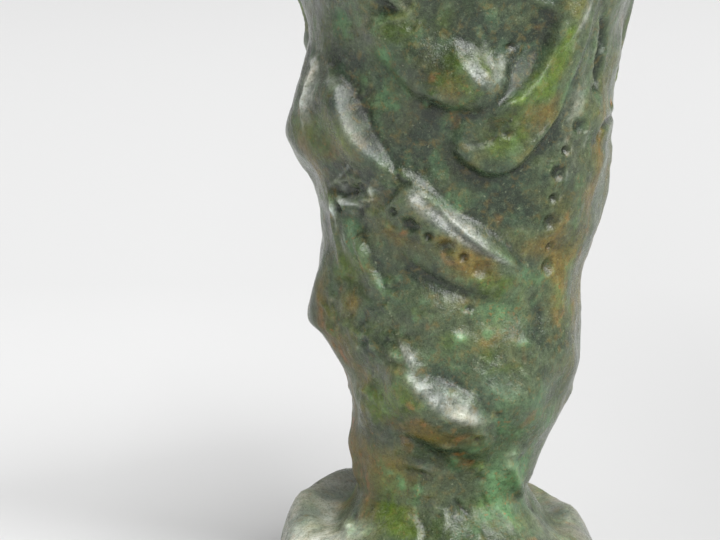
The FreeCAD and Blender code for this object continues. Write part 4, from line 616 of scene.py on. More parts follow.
  ('pale', 12.18, 58.45, 0.19, 0.5, -10, 0.5),
  ('pale', 10.99, 52.7, 0.19, 0.5, 0, 0.5),
  ('dark', 9.17, 49.83, 0.5, 1.75, 0, 0.4),
  ('dark', 9.55, 46.24, 0.5, 1.75, 0, 0.4),
  ('verd', 11.18, 68.1, 0.88, 2.0, -18, 0.4),
  ('dark', 14.68, 64.71, 0.5, 2.5, -12, 0.6),
  ('ochre', -18.57, 59.06, 2.0, 2.0, 0, 0.6),
  ('lime', -18.88, 61.12, 2.25, 1.75, 0, 0.6),
  ('lime', -14.5, 61.73, 1.5, 1.75, 0, 0.5),
  ('ochre', -16.44, 53.11, 1.5, 1.25, 0, 0.35),
  ('ochre', -17.88, 55.47, 1.75, 2.0, 0, 0.5),
  ('lime', -17.88, 52.19, 2.0, 1.75, 0, 0.35),
  ('lime', -25.14, 22.53, 3.0, 2.75, 0, 0.45),
  ('ochre', -24.95, 29.92, 2.5, 3.0, 0, 0.55),
  ('ochre', -18.25, 35.46, 2.25, 2.5, 0, 0.45),
  ('ochre', -22.7, 19.55, 2.5, 3.75, 0, 0.5),
  ('ochre', -28.52, 12.57, 2.0, 2.5, 0, 0.4),
  ('ochre', 21.95, 38.54, 2.75, 3.75, 0, 0.5),
  ('ochre', 24.58, 46.03, 2.25, 3.75, 0, 0.4),
  ('matte', -10.99, 63.27, 3.75, 1.75, -72, 0.75),
  ('matte', -8.8, 58.86, 2.25, 1.5, -46, 0.5),
  ('matte', 9.55, 11.85, 4.25, 3.0, 0, 0.6),
  ('matte', -10.11, 63.37, 0.25, 0.25, 0, 0.1),
  ('dark', -3.98, 68.51, 3.25, 2.0, -38, 0.4),
  ('dark', -6.04, 71.28, 2.25, 2.25, -30, 0.35),
  ('dark', -1.53, 75.28, 3.25, 2.0, 0, 0.4),
  ('ochre', -1.1, 67.27, 2.5, 1.0, -40, 0.35),
  ('lime', -11.93, 27.56, 2.75, 2.5, 0, 0.65),
  ('ochre', -15.18, 21.81, 1.75, 6.25, 8, 0.65),
  ('ochre', -25.83, 25.5, 1.12, 6.25, 0, 0.7),
  ('ochre', -14.24, 13.7, 1.75, 3.0, 0, 0.6),
  ('lime', -9.74, 13.19, 2.25, 2.75, 0, 0.55),
  ('lime', -13.81, 44.18, 2.0, 1.75, 0, 0.6),
  ('ochre', -19.5, 33.41, 1.5, 2.75, 30, 0.55),
  ('ochre', -19.25, 38.33, 1.25, 3.0, 0, 0.5),
  ('lime', -17.5, 36.79, 1.5, 2.0, 0, 0.45),
  ('ochre', -8.61, 24.99, 2.75, 1.12, -14, 0.5),
  ('lime', -6.23, 10.32, 3.75, 1.25, 0, 0.4),
  ('dark', -7.73, 15.96, 3.25, 2.75, 0, 0.35),
  ('dark', -9.3, 20.48, 3.25, 2.0, 0, 0.25),
  ('pale', 11.74, 65.02, 1.5, 4.25, -18, 0.24),
  ('pale', 2.97, 68.1, 2.25, 1.5, -52, 0.5),
  ('pale', 3.66, 69.53, 1.12, 1.75, -20, 0.4),
  ('pale', 1.53, 70.76, 1.25, 0.62, -55, 0.35),
  ('pale', 0.66, 27.25, 2.12, 0.88, -24, 0.65),
  ('pale', -2.47, 28.99, 2.5, 1.0, -34, 0.45),
  ('pale', -4.98, 30.94, 1.75, 0.75, -44, 0.35),
  ('pale', -1.03, 28.69, 1.75, 1.25, -30, 0.35),
  ('wax', 0.66, 27.35, 2.25, 1.12, -26, 0.7),
  ('wax', 12.05, 64.5, 1.75, 5.0, -18, 0.5),
  ('pale', 7.92, 29.92, 3.25, 1.25, -10, 0.22),
  ('dark', -20.19, 46.85, 1.0, 5.0, 0, 0.4),
  ('dark', -20.82, 69.74, 1.25, 1.5, 0, 0.5),
  ('lime', 8.92, 69.74, 1.25, 4.25, -20, 0.4),
  ('ochre', 24.08, 52.09, 1.0, 7.5, 0, 0.5),
  ('ochre', 22.95, 25.91, 1.25, 6.25, -10, 0.4),
  ('pale', -19.0, 67.48, 2.0, 1.62, -98, 1.2),
  ('pale', -17.5, 64.91, 2.25, 2.0, -96, 1.2),
  ('pale', -17.94, 61.94, 1.75, 1.75, -92, 0.9),
  ('wax', -13.62, 66.56, 1.0, 1.0, 0, 0.8),
  ('pale', -14.81, 52.39, 0.88, 0.25, -52, 1.0),
  ('pale', -15.81, 51.06, 1.25, 0.28, -84, 0.7),
  ('pale', -14.06, 51.78, 1.12, 0.28, 4, 0.75),
  ('pale', -9.74, 53.62, 0.62, 0.31, -100, 0.9),
  ('pale', -10.61, 53.93, 0.5, 0.25, 60, 0.5),
  ('pale', -8.61, 54.34, 0.75, 0.2, -8, 0.45),
  ('pale', -13.12, 55.68, 0.75, 0.15, -64, 0.7),
  ('pale', -14.81, 54.75, 0.88, 0.15, 38, 0.55),
  ('pale', -13.68, 54.55, 1.0, 0.15, 14, 0.5),
  ('pale', -15.25, 46.24, 1.5, 0.28, -78, 0.75),
  ('pale', -14.06, 44.9, 1.12, 0.31, -60, 0.7),
  ('pale', -12.49, 44.59, 0.62, 0.38, 0, 0.4),
  ('pale', 10.55, 74.25, 3.25, 0.5, -112, 0.55),
  ('pale', 10.24, 71.38, 1.75, 0.31, -116, 0.5),
  ('pale', 8.17, 69.74, 5.0, 0.15, -124, 0.35),
  ('pale', 5.04, 65.32, 0.75, 0.2, 38, 0.6),
  ('pale', 3.79, 64.4, 1.0, 0.17, 30, 0.3),
  ('pale', -6.1, 76.2, 1.12, 0.38, -40, 0.6),
  ('pale', -5.23, 74.56, 1.0, 0.31, -70, 0.4),
  ('pale', 14.37, 70.05, 0.5, 0.62, 0, 0.5),
  ('pale', 13.68, 65.73, 1.0, 2.0, -16, 0.25),
  ('pale', 10.74, 20.48, 1.0, 0.75, 0, 0.4),
  ('pale', 10.11, 18.53, 0.75, 1.25, 0, 0.35),
  ('pale', -6.73, 34.84, 1.12, 0.15, -62, 0.9),
  ('pale', -5.92, 33.2, 1.0, 0.15, -68, 0.8),
  ('pale', -16.69, 9.39, 0.62, 0.88, 20, 0.6),
  ('pale', -6.98, 36.79, 1.25, 1.0, 0, 0.25),
  ('pale', -9.3, 31.87, 1.25, 1.0, 0, 0.2),
  ('pale', -13.49, 70.15, 0.62, 0.5, 0, 0.35),
  ('lime', -15.62, 59.37, 2.25, 1.75, 0, 0.85),
  ('ochre', -16.44, 60.3, 1.5, 1.5, 0, 0.5),
  ('ochre', -13.62, 58.76, 1.75, 1.25, -20, 0.5),
  ('ochre', -13.37, 63.07, 1.25, 1.75, 0, 0.4),
  ('dark', -12.3, 64.61, 0.75, 2.25, -10, 0.5),
  ('dark', -4.66, 72.92, 3.0, 3.25, 0, 0.55),
  ('dark', 0.03, 74.25, 1.75, 3.5, 0, 0.6),
  ('dark', -6.79, 69.94, 1.75, 2.5, -30, 0.4),
  ('wax', -12.12, 65.12, 2.75, 1.0, -80, 0.8),
  ('wax', -10.61, 61.73, 2.5, 1.0, -62, 0.8),
  ('wax', -8.8, 58.65, 2.5, 0.88, -44, 0.75),
  ('wax', -18.31, 65.73, 4.0, 0.88, -96, 0.6),
  ('wax', -4.54, 53.11, 2.25, 0.88, -42, 0.85),
  ('wax', -2.29, 50.55, 2.5, 0.88, -36, 0.85),
  ('wax', 0.85, 48.08, 2.75, 0.88, -34, 0.8),
  ('wax', 4.16, 45.93, 2.25, 0.5, -28, 0.6),
  ('wax', 0.66, 68.71, 3.0, 0.88, -57, 0.8),
  ('wax', 2.79, 67.68, 2.25, 1.75, -50, 0.7),
  ('wax', 10.61, 73.53, 4.25, 0.88, -110, 0.6),
  ('wax', 3.91, 64.81, 2.0, 0.5, 32, 0.15),
  ('wax', -4.29, 30.02, 3.25, 1.25, -36, 0.85),
  ('wax', -0.78, 28.17, 2.75, 1.12, -26, 0.85),
  ('wax', -6.23, 34.33, 1.75, 0.5, -62, 0.7),
  ('wax', -5.29, 33.3, 1.5, 1.0, -60, 0.5),
  ('wax', 5.1, 29.61, 3.75, 1.75, -14, 0.45),
  ('wax', -13.99, 53.52, 2.0, 1.25, 0, 0.5),
  ('wax', -9.67, 54.14, 1.5, 1.0, 0, 0.4),
  ('wax', 11.05, 19.55, 1.75, 2.0, 0, 0.4),
  ('ochre', 16.94, 53.01, 1.5, 10.0, -6, 0.75),
  ('ochre', 18.82, 36.59, 1.38, 7.75, 0, 0.75),
  ('ochre', 14.24, 39.67, 1.5, 4.25, 0, 0.5),
  ('ochre', 8.23, 63.48, 1.62, 2.5, -20, 0.8),
  ('ochre', 6.1, 63.78, 1.75, 1.5, 0, 0.5),
  ('ochre', 17.81, 60.19, 1.0, 6.25, 0, 0.5),
  ('ochre', 9.11, 46.65, 2.75, 1.5, -10, 0.85),
  ('ochre', 13.68, 44.8, 1.75, 3.25, 0, 0.55),
  ('ochre', 1.16, 44.29, 4.25, 1.12, -22, 0.7),
  ('ochre', -6.86, 48.49, 2.75, 1.0, -25, 0.75),
  ('ochre', -1.91, 48.39, 1.12, 0.88, 0, 0.8),
  ('ochre', 1.22, 46.13, 2.0, 1.12, -30, 0.7),
  ('ochre', -9.36, 52.6, 2.5, 1.12, 40, 0.5),
  ('ochre', -21.01, 25.5, 1.0, 7.5, 0, 0.6),
  ('ochre', -16.69, 33.0, 1.25, 3.25, 30, 0.6),
  ('ochre', -19.63, 40.18, 1.5, 3.75, 0, 0.45),
  ('ochre', -13.87, 58.96, 2.5, 3.25, 0, 0.45),
  ('ochre', -17.94, 17.29, 2.0, 3.5, 0, 0.75),
  ('ochre', -11.11, 18.32, 3.75, 2.25, -20, 0.75),
  ('ochre', -15.94, 12.68, 0.88, 1.25, 0, 0.8),
  ('ochre', -3.16, 24.58, 3.75, 1.0, -16, 0.6),
  ('ochre', -5.48, 25.91, 1.75, 1.0, 0, 0.7),
  ('ochre', -1.22, 24.17, 3.25, 1.12, -10, 0.7),
  ('ochre', -8.3, 24.58, 2.0, 0.62, 0, 0.5),
  ('ochre', -13.68, 39.77, 1.75, 1.25, 0, 0.6),
  ('ochre', -5.6, 12.06, 1.0, 1.5, 0, 0.5),
  ('ochre', 6.48, 59.06, 1.75, 1.25, -40, 0.4),
  ('ochre', 11.8, 48.7, 1.5, 5.0, 0, 0.45),
  ('ochre', 5.98, 36.69, 2.25, 1.75, 0, 0.45),
  ('ochre', 3.73, 35.36, 1.25, 1.0, 0, 0.5),
  ('ochre', 1.53, 40.69, 1.25, 1.0, 0, 0.4),
  ('ochre', 13.68, 11.14, 1.5, 1.0, 0, 0.4),
  ('ochre', -1.47, 67.79, 2.75, 1.12, -30, 0.6),
  ('ochre', 19.94, 63.68, 0.75, 5.0, 0, 0.4),
  ('ochre', 6.67, 63.37, 1.12, 0.88, 0, 0.5),
  ('ochre', -6.98, 34.54, 1.5, 1.0, 0, 0.2),
  ('lime', -3.41, 70.15, 5.0, 2.0, -38, 0.25),
  ('grey', -2.6, 69.22, 3.75, 1.5, -38, 0.35),
  ('lime', -0.78, 68.51, 2.75, 1.75, -52, 0.25),
  ('lime', 4.29, 60.4, 2.25, 1.5, 20, 0.6),
  ('lime', -0.91, 69.74, 2.75, 2.0, -40, 0.3),
  ('lime', -0.53, 66.86, 2.25, 1.0, -20, 0.4),
  ('lime', -7.17, 73.33, 2.5, 2.5, 0, 0.35),
  ('lime', 4.48, 63.07, 3.0, 1.5, 20, 0.42),
  ('lime', 3.35, 59.68, 2.5, 2.0, 0, 0.4),
  ('grey', 3.54, 58.04, 2.5, 1.0, -20, 0.3),
  ('dark', 2.6, 58.96, 1.5, 2.0, 0, 0.2),
  ('lime', 7.61, 57.63, 1.0, 0.75, 0, 0.3),
  ('lime', 9.11, 70.35, 1.12, 4.25, -18, 0.65),
  ('lime', 7.48, 66.56, 1.5, 1.5, -30, 0.5),
  ('lime', -2.41, 74.56, 1.5, 2.25, 0, 0.5),
  ('lime', -13.49, 44.08, 2.25, 1.75, 0, 0.9),
  ('lime', -15.94, 43.16, 1.5, 1.25, 0, 0.6),
  ('lime', -8.73, 29.1, 3.25, 1.5, -10, 0.85),
  ('lime', -12.05, 27.15, 2.25, 1.25, 0, 0.6),
  ('lime', -6.42, 30.53, 1.75, 1.25, 0, 0.5),
  ('lime', -11.3, 11.75, 1.0, 1.75, 0, 0.65),
  ('lime', -6.98, 11.03, 1.25, 1.25, 0, 0.6),
  ('lime', -1.22, 35.66, 1.12, 1.12, 0, 0.65),
  ('lime', -10.24, 14.32, 0.75, 1.5, 0, 0.6),
  ('lime', 4.35, 19.24, 1.25, 0.75, 0, 0.6),
  ('lime', 4.54, 42.95, 3.75, 1.0, -12, 0.55),
  ('lime', 3.6, 40.9, 3.75, 1.25, -8, 0.35),
  ('lime', -2.54, 58.86, 0.62, 0.5, 0, 0.2),
  ('lime', -13.12, 61.01, 2.75, 1.75, 0, 0.6),
  ('lime', -10.86, 60.19, 1.75, 1.25, -30, 0.5),
  ('lime', 3.66, 34.02, 1.12, 1.25, 0, 0.6),
  ('lime', 6.48, 32.38, 1.75, 0.75, 0, 0.5),
  ('lime', 4.98, 65.32, 1.25, 0.75, 0, 0.5),
  ('lime', -10.05, 51.06, 1.5, 0.75, 0, 0.5),
  ('lime', 6.92, 12.06, 1.25, 1.0, 0, 0.35),
  ('lime', 18.31, 25.2, 0.88, 1.5, 0, 0.4),
  ('lime', 14.56, 48.39, 0.75, 7.5, 0, 0.3),
  ('verd', -13.99, 74.36, 1.12, 1.25, -30, 1.2),
  ('verd', -12.93, 72.82, 0.75, 1.75, 0, 0.6),
  ('verd', -7.86, 70.35, 1.25, 1.0, -40, 0.8),
  ('verd', -7.8, 67.17, 2.5, 2.0, -30, 0.4),
  ('verd', 0.28, 36.28, 0.69, 0.5, -10, 0.75),
  ('pale', 0.28, 36.28, 0.62, 0.42, -10, 0.55),
  ('lime', 0.28, 36.28, 0.5, 0.38, -10, 0.4),
  ('verd', -13.56, 46.44, 0.75, 1.0, 20, 1.2),
  ('verd', 10.8, 65.63, 1.12, 2.25, -25, 0.7),
  ('verd', -2.72, 52.6, 1.5, 0.75, -40, 0.35),
  ('verd', 9.8, 17.09, 2.75, 3.75, 0, 0.85),
  ('verd', 11.05, 12.27, 4.5, 2.5, 0, 0.35),
  ('lime', 7.48, 13.5, 3.25, 1.75, 0, 0.35),
  ('verd', 3.16, 12.27, 3.75, 1.75, 0, 0.15),
  ('verd', 15.25, 18.53, 1.5, 4.5, -10, 0.6),
  ('verd', 11.87, 27.86, 2.5, 2.75, 0, 0.6),
  ('verd', 5.1, 29.3, 3.25, 2.25, -20, 0.6),
  ('verd', 10.24, 23.96, 3.75, 2.5, 0, 0.45),
  ('verd', 5.17, 23.35, 2.0, 3.75, 0, 0.35),
  ('verd', 6.04, 38.64, 3.25, 3.25, 0, 0.5),
  ('verd', 10.68, 42.54, 1.75, 1.25, 0, 0.55),
  ('verd', 7.86, 43.87, 1.75, 1.0, 0, 0.4),
  ('verd', -17.75, 35.56, 1.0, 1.25, 0, 0.55),
  ('verd', -16.94, 40.8, 1.0, 1.0, 0, 0.5),
  ('verd', -7.29, 33.82, 0.75, 0.5, -30, 0.8),
  ('verd', -12.37, 35.15, 1.0, 1.0, 0, 0.4),
  ('verd', -3.22, 57.63, 3.75, 2.5, 0, 0.15),
  ('verd', -0.66, 62.66, 1.5, 2.5, 0, 0.45),
  ('verd', -7.42, 41.62, 3.25, 2.0, -30, 0.35),
  ('verd', -10.05, 38.95, 2.5, 1.75, 0, 0.3),
  ('verd', -2.47, 31.56, 3.75, 2.5, -30, 0.35),
  ('verd', 0.91, 20.27, 1.5, 1.25, -20, 0.4),
  ('verd', -14.06, 64.4, 1.25, 3.75, 0, 0.3),
  ('verd', -20.32, 72.2, 1.0, 3.75, 0, 0.4),
  ('verd', -16.69, 9.39, 1.0, 1.25, 0, 0.7),
  ('verd', -0.34, 52.8, 2.0, 1.75, 0, 0.4),
  ('verd', -0.34, 34.74, 2.5, 2.5, 0, 0.3),
  ('verd', -3.48, 64.5, 0.38, 0.62, 0, 1.0),
  ('verd', -4.73, 38.33, 0.62, 0.5, 0, 0.9),
  ('verd', 3.29, 39.46, 1.75, 1.25, 0, 0.3),
  ('verd', -13.56, 49.11, 1.25, 1.75, 0, 0.35),
  ('verd', -7.8, 57.63, 1.5, 1.0, 0, 0.2),
  ('verd', 8.55, 59.99, 1.25, 1.75, 0, 0.3),
  ('dark', -2.22, 57.01, 7.0, 4.25, -10, 0.7),
  ('dark', 4.6, 51.98, 4.25, 3.75, 20, 0.8),
  ('dark', 4.85, 68.51, 3.0, 3.75, -15, 0.75),
  ('dark', 2.6, 74.46, 4.25, 2.75, 0, 0.55),
  ('dark', -13.99, 70.15, 2.0, 2.0, 0, 0.6),
  ('dark', -9.61, 54.45, 2.0, 1.5, 0, 0.35),
  ('dark', -9.24, 58.96, 1.25, 1.75, 30, 0.5),
  ('dark', -5.17, 62.45, 3.25, 2.25, -30, 0.35),
  ('dark', -2.1, 42.54, 4.25, 1.25, -15, 0.7),
  ('dark', -3.85, 43.67, 3.5, 1.25, -20, 0.6),
  ('dark', -2.03, 22.63, 3.25, 0.88, -15, 0.85),
  ('dark', 16.5, 68.71, 0.62, 3.75, 0, 0.9),
  ('dark', 1.22, 69.94, 1.0, 1.75, 0, 0.0),
  ('dark', 10.74, 37.61, 1.25, 3.0, 0, 0.5),
  ('dark', -18.31, 69.02, 1.12, 1.5, 0, 0.5),
  ('dark', -1.16, 63.89, 2.5, 1.0, -10, 0.6),
  ('dark', -4.85, 46.95, 2.5, 1.0, -30, 0.4),
  ('dark', -9.05, 35.46, 2.5, 1.75, 0, 0.3),
  ('dark', -1.16, 17.6, 3.75, 2.5, 0, 0.35),
  ('dark', -8.3, 17.09, 3.0, 3.75, 0, 0.2),
  ('dark', 14.75, 33.51, 1.75, 3.75, 0, 0.3),
  ('dark', -7.92, 75.79, 1.25, 1.0, 0, 0.8),
  ('dark', 0.91, 40.69, 1.25, 1.0, 0, 0.35),
  ('dark', -9.3, 31.87, 2.25, 1.75, 0, 0.35),
  ('dark', -15.0, 55.78, 1.5, 1.0, 0, 0.4),
  ('grey', -9.92, 73.12, 3.25, 2.25, -30, 0.55),
  ('grey', -5.92, 69.53, 2.5, 1.5, -30, 0.3),
  ('grey', -2.1, 66.15, 3.25, 0.88, -20, 0.6),
  ('grey', -3.6, 62.45, 2.5, 2.25, 0, 0.35),
  ('grey', 0.78, 59.78, 1.25, 1.5, 0, 0.4),
  ('grey', -2.97, 18.83, 2.75, 1.75, 0, 0.45),
  ('grey', -7.11, 27.56, 1.75, 1.0, 0, 0.4),
  ('grey', -2.54, 14.42, 1.75, 1.5, 0, 0.4),
  ('grey', -1.97, 40.8, 3.25, 1.5, 0, 0.3),
  ('grey', -12.62, 63.48, 1.5, 2.25, 0, 0.35),
  ('grey', -9.55, 30.84, 1.75, 1.25, 0, 0.35),
  ('grey', 10.55, 59.78, 1.75, 1.75, 0, 0.35),
  ('grey', 4.85, 69.02, 1.75, 1.75, 0, 0.3),
  ('rust', -11.68, 19.45, 0.62, 0.5, 0, 0.9),
  ('rust', 1.1, 21.6, 0.75, 0.5, 0, 0.9),
  ('rust', 6.36, 36.79, 0.5, 0.5, 0, 0.6),
  ('rust', -4.6, 25.81, 0.5, 0.38, 0, 0.8),
  ('rust', -2.85, 25.71, 0.62, 0.38, 0, 0.7),
  ('rust', -0.41, 25.4, 0.88, 0.62, 0, 0.6),
  ('rust', -17.56, 34.23, 0.75, 0.62, 0, 0.9),
  ('rust', -17.88, 32.18, 0.88, 0.75, 0, 0.7),
  ('rust', 12.87, 50.65, 0.75, 1.25, -25, 0.7),
  ('rust', 15.12, 52.5, 0.38, 1.0, -20, 0.7),
  ('rust', 1.1, 43.67, 0.88, 0.62, 0, 0.85),
  ('rust', 0.28, 44.8, 0.62, 0.5, 0, 0.5),
  ('rust', -11.62, 52.5, 0.75, 0.31, 0, 1.0),
  ('rust', -15.62, 41.0, 0.5, 0.5, 0, 0.7),
  ('rust', -7.17, 49.11, 1.12, 0.38, -20, 0.6),
  ('rust', 6.86, 63.17, 1.0, 0.75, 0, 0.45),
  ('rust', 15.25, 38.95, 0.88, 1.5, 0, 0.5),
  ('rust', 21.07, 33.1, 0.38, 2.75, 0, 0.6),
  ('rust', -0.53, 17.81, 1.0, 0.62, 0, 0.45),
  ('rust', -10.17, 17.29, 1.75, 1.0, -30, 0.4),
  ('rust', -0.97, 67.99, 0.75, 0.5, 0, 0.6),
  ('rust', -1.53, 69.53, 0.5, 0.5, 0, 0.3),
  ('rust', -15.62, 11.44, 0.62, 0.5, 0, 0.4),
  ('rust', -17.56, 11.03, 0.62, 0.38, 0, 0.7),
  ('rust', 21.88, 62.96, 0.38, 1.0, 0, 0.5),
  ('rust', -17.0, 38.95, 0.75, 0.5, 0, 0.5),
  ('rust', -3.22, 17.81, 0.62, 0.5, 0, 0.3),
  ('rust', 4.16, 61.01, 0.62, 0.38, 0, 0.6),
  ('rust', 7.55, 46.13, 0.62, 0.38, 0, 0.4),
  ('rust', 3.48, 35.56, 0.75, 0.75, 0, 0.3),
  ('rust', -5.73, 26.43, 1.0, 0.62, 0, 0.4),
  ('rust', -6.1, 49.11, 1.0, 0.38, -15, 0.5),
  ('rust', -9.8, 60.71, 0.38, 0.38, 0, 0.3),
  ('rust', 0.85, 31.56, 0.75, 1.0, 0, 0.4),
]

PLUGS = [(158.0, 71.0), (-146.0, 52.0), (118.0, 47.0), (-168.0, 31.0), (150.0, 24.0), (-112.0, 73.0)]
CORE = [(80.0, 13.0), (75.0, 14.6), (68.0, 14.6), (60.0, 14.0), (52.0, 12.8), (45.0, 12.0), (38.0, 11.4), (32.0, 10.6),
        (26.0, 8.8), (20.0, 7.3), (14.0, 7.0), (11.0, 7.9), (8.0, 9.6)]


def hermite(xs, ys, x):
    xs = np.asarray(xs, float)
    ys = np.asarray(ys, float)
    n = len(xs)
    m = np.zeros(n)
    m[1:-1] = (ys[2:] - ys[:-2]) / (xs[2:] - xs[:-2])
    m[0] = (ys[1] - ys[0]) / (xs[1] - xs[0])
    m[-1] = (ys[-1] - ys[-2]) / (xs[-1] - xs[-2])
    x = np.clip(x, xs[0], xs[-1])
    i = np.clip(np.searchsorted(xs, x, side="right") - 1, 0, n - 2)
    h = xs[i + 1] - xs[i]
    t = (x - xs[i]) / h
    return ((2 * t ** 3 - 3 * t ** 2 + 1) * ys[i] + (t ** 3 - 2 * t ** 2 + t) * h * m[i]
            + (-2 * t ** 3 + 3 * t ** 2) * ys[i + 1] + (t ** 3 - t ** 2) * h * m[i + 1])


def col(table, k):
    return [r[k] for r in table]


def column(th, z):
    xl, xr, yf, yb = [hermite(col(BASE, 0), col(BASE, k), z) for k in (1, 2, 3, 4)]
    dl = hermite(col(SIDES, 0), col(SIDES, 1), z) - xl
    dr = hermite(col(SIDES, 0), col(SIDES, 2), z) - xr
    x = (xl + xr) / 2 + (xr - xl) / 2 * np.sin(th)
    y = (yb - yf) / 2 - (yb + yf) / 2 * np.cos(th)
    x = x + dl * np.exp(-((th + math.pi / 2) / 0.62) ** 2) + dr * np.exp(-((th - math.pi / 2) / 0.62) ** 2)
    return np.stack([x, y, z + 0 * x], -1)


def foot_ring(th, k):
    if k <= 0:
        r, z = EDGE_R + 0 * th, EDGE_Z + (2.0 * k) + 0 * th
    else:
        an = np.array(col(FOOT, 0), float)
        a = np.clip(np.degrees(th), -180, 180)
        i = np.clip(np.searchsorted(an, a, side="right") - 1, 0, len(an) - 2)
        t = (a - an[i]) / (an[i + 1] - an[i])
        t = t * t * (3 - 2 * t)
        vr, vz = np.array(col(FOOT, 2 * k - 1), float), np.array(col(FOOT, 2 * k), float)
        r, z = vr[i] * (1 - t) + vr[i + 1] * t, vz[i] * (1 - t) + vz[i + 1] * t
    return np.stack([r * np.sin(th), -r * np.cos(th), z], -1)


def base(th, T):
    th, T = np.broadcast_arrays(np.asarray(th, float), np.asarray(T, float))
    th = (th + math.pi) % (2 * math.pi) - math.pi
    P = column(th, Z_NECK + (np.maximum(T, T_NECK) - T_NECK) * DZ)
    m = T < T_NECK
    if m.any():
        t, a = T[m], th[m]
        K = np.array([foot_ring(a, k) for k in range(-1, 5)]
                     + [column(a, np.full_like(a, Z_NECK)), column(a, np.full_like(a, Z_NECK + DZ))])
        i = np.clip(np.floor(t).astype(int), 0, 4)
        f = (t - i)[:, None]
        n = np.arange(len(t))
        p0, p1, p2, p3 = K[i, n], K[i + 1, n], K[i + 2, n], K[i + 3, n]
        P = P.copy()
        P[m] = 0.5 * (2 * p1 + (p2 - p0) * f + (2 * p0 - 5 * p1 + 4 * p2 - p3) * f ** 2
                      + (3 * p1 - p0 - 3 * p2 + p3) * f ** 3)
    return P


def q_of(T):
    return np.where(T >= T_NECK, Z_NECK + (T - T_NECK) * DZ, Z_NECK - (T_NECK - T) * Q_FOOT)


def stretch(q):
    return hermite(col(GIRTH, 0), col(GIRTH, 1), q) / RREF


def smooth_line(pts, sub):
    if len(pts) < 3:
        return [tuple(p) for p in pts]
    P = np.array(pts, float)
    out = []
    for i in range(len(P) - 1):
        p0, p1, p2, p3 = P[max(i - 1, 0)], P[i], P[i + 1], P[min(i + 2, len(P) - 1)]
        for j in range(sub):
            f = j / sub
            out.append(tuple(0.5 * (2 * p1 + (p2 - p0) * f + (2 * p0 - 5 * p1 + 4 * p2 - p3) * f * f
                                    + (3 * p1 - p0 - 3 * p2 + p3) * f ** 3)))
    out.append(tuple(P[-1]))
    return out


SOFT = 0.15


def fold(s, q, feature, sub=3, eps=0.2):
    """Height of one fold. wl and wr act on the left and on the right of its line of travel.
    R: rounded. C: sharp crest. F: flat facet of slope wl on the left, rounded on the right."""
    kind, wl, wr, pts = feature
    pts = smooth_line(pts, sub)
    mid = sum(p[0] for p in pts) / len(pts)
    X = ((s - mid + AROUND / 2) % AROUND - AROUND / 2 + mid) * stretch(q)
    A = np.array([[p[0] * float(stretch(np.array(p[1]))), p[1], p[2]] for p in pts])
    reach = max(3.2 * wr, max(p[2] for p in pts) / wl + 2.5) if kind == "F" else 3.2 * max(wl, wr)
    out = np.zeros_like(q, dtype=float)
    sel = ((X > A[:, 0].min() - reach) & (X < A[:, 0].max() + reach)
           & (q > A[:, 1].min() - reach) & (q < A[:, 1].max() + reach))
    if not sel.any():
        return out
    x, y = X[sel], q[sel]
    best, side, h = np.full(x.shape, 1e9), np.ones(x.shape), np.zeros(x.shape)
    for (ax, ay, ah), (bx, by, bh) in zip(A[:-1], A[1:]):
        dx, dy = bx - ax, by - ay
        l2 = dx * dx + dy * dy + 1e-12
        t = np.clip(((x - ax) * dx + (y - ay) * dy) / l2, 0, 1)
        ex, ey = x - ax - t * dx, y - ay - t * dy
        d = ex * ex + ey * ey
        near = d < best
        best = np.where(near, d, best)
        side = np.where(near, (dx * ey - dy * ex) / np.sqrt(l2 * d + 1e-12), side)
        h = np.where(near, ah + t * (bh - ah), h)
    d = np.sqrt(best)
    a = 0.5 + 0.5 * side
    w = wr + (wl - wr) * a
    if kind == "R":
        f = h * np.exp(-(d / w) ** 2)
    elif kind == "C":
        f = h * np.exp(-(np.sqrt(d * d + eps * eps) - eps) / w) * np.exp(-(d / (2.6 * w)) ** 2)
    else:
        up = h - wl * (np.sqrt(d * d + eps * eps) - eps)
        ramp_ = 0.5 * (up + np.sqrt(up * up + SOFT * SOFT)) * np.exp(-(np.maximum(d - h / wl, 0) / 0.8) ** 2)
        f = a * ramp_ + (1 - a) * 0.5 * (h + np.sqrt(h * h + SOFT * SOFT)) * np.exp(-(d / wr) ** 2)
    out[sel] = f
    return out


def local(s, q, s0, q0):
    return ((s - s0 + AROUND / 2) % AROUND - AROUND / 2) * stretch(q), q - q0


def spot(s, q, s0, q0, a, b, turn):
    x, y = local(s, q, s0, q0)
    c, n = math.cos(math.radians(turn)), math.sin(math.radians(turn))
    return np.exp(-((x * c + y * n) / a) ** 2 - ((y * c - x * n) / b) ** 2)


# ---- gradient noise, seeded
rng = np.random.RandomState(11)
PERM = np.concatenate([rng.permutation(512)] * 2 + [rng.permutation(512)])
GRAD = rng.normal(size=(512, 3))
GRAD /= np.linalg.norm(GRAD, axis=1, keepdims=True)


def noise(p):
    i = np.floor(p).astype(int)
    f = p - i
    u = f * f * f * (f * (f * 6 - 15) + 10)
    i &= 511
    out = 0.0
    for cx in (0, 1):
        for cy in (0, 1):
            for cz in (0, 1):
                g = GRAD[PERM[(PERM[(PERM[(i[..., 0] + cx) & 511] + i[..., 1] + cy) & 511] + i[..., 2] + cz) & 511]]
                d = f - np.array([cx, cy, cz])
                w = ((u[..., 0] if cx else 1 - u[..., 0]) * (u[..., 1] if cy else 1 - u[..., 1])
                     * (u[..., 2] if cz else 1 - u[..., 2]))
                out = out + w * (g * d).sum(-1)
    return out * 1.6


def fbm(P, size, octaves=3, seed=0.0, gain=0.5):
    out, a, tot = 0.0, 1.0, 0.0
    for k in range(octaves):
        out = out + a * noise(P / size * (2.03 ** k) + 17.3 * k + seed)
        tot += a
        a *= gain
    return out / tot


def ease(x):
    x = np.clip(x, 0, 1)
    return x * x * (3 - 2 * x)


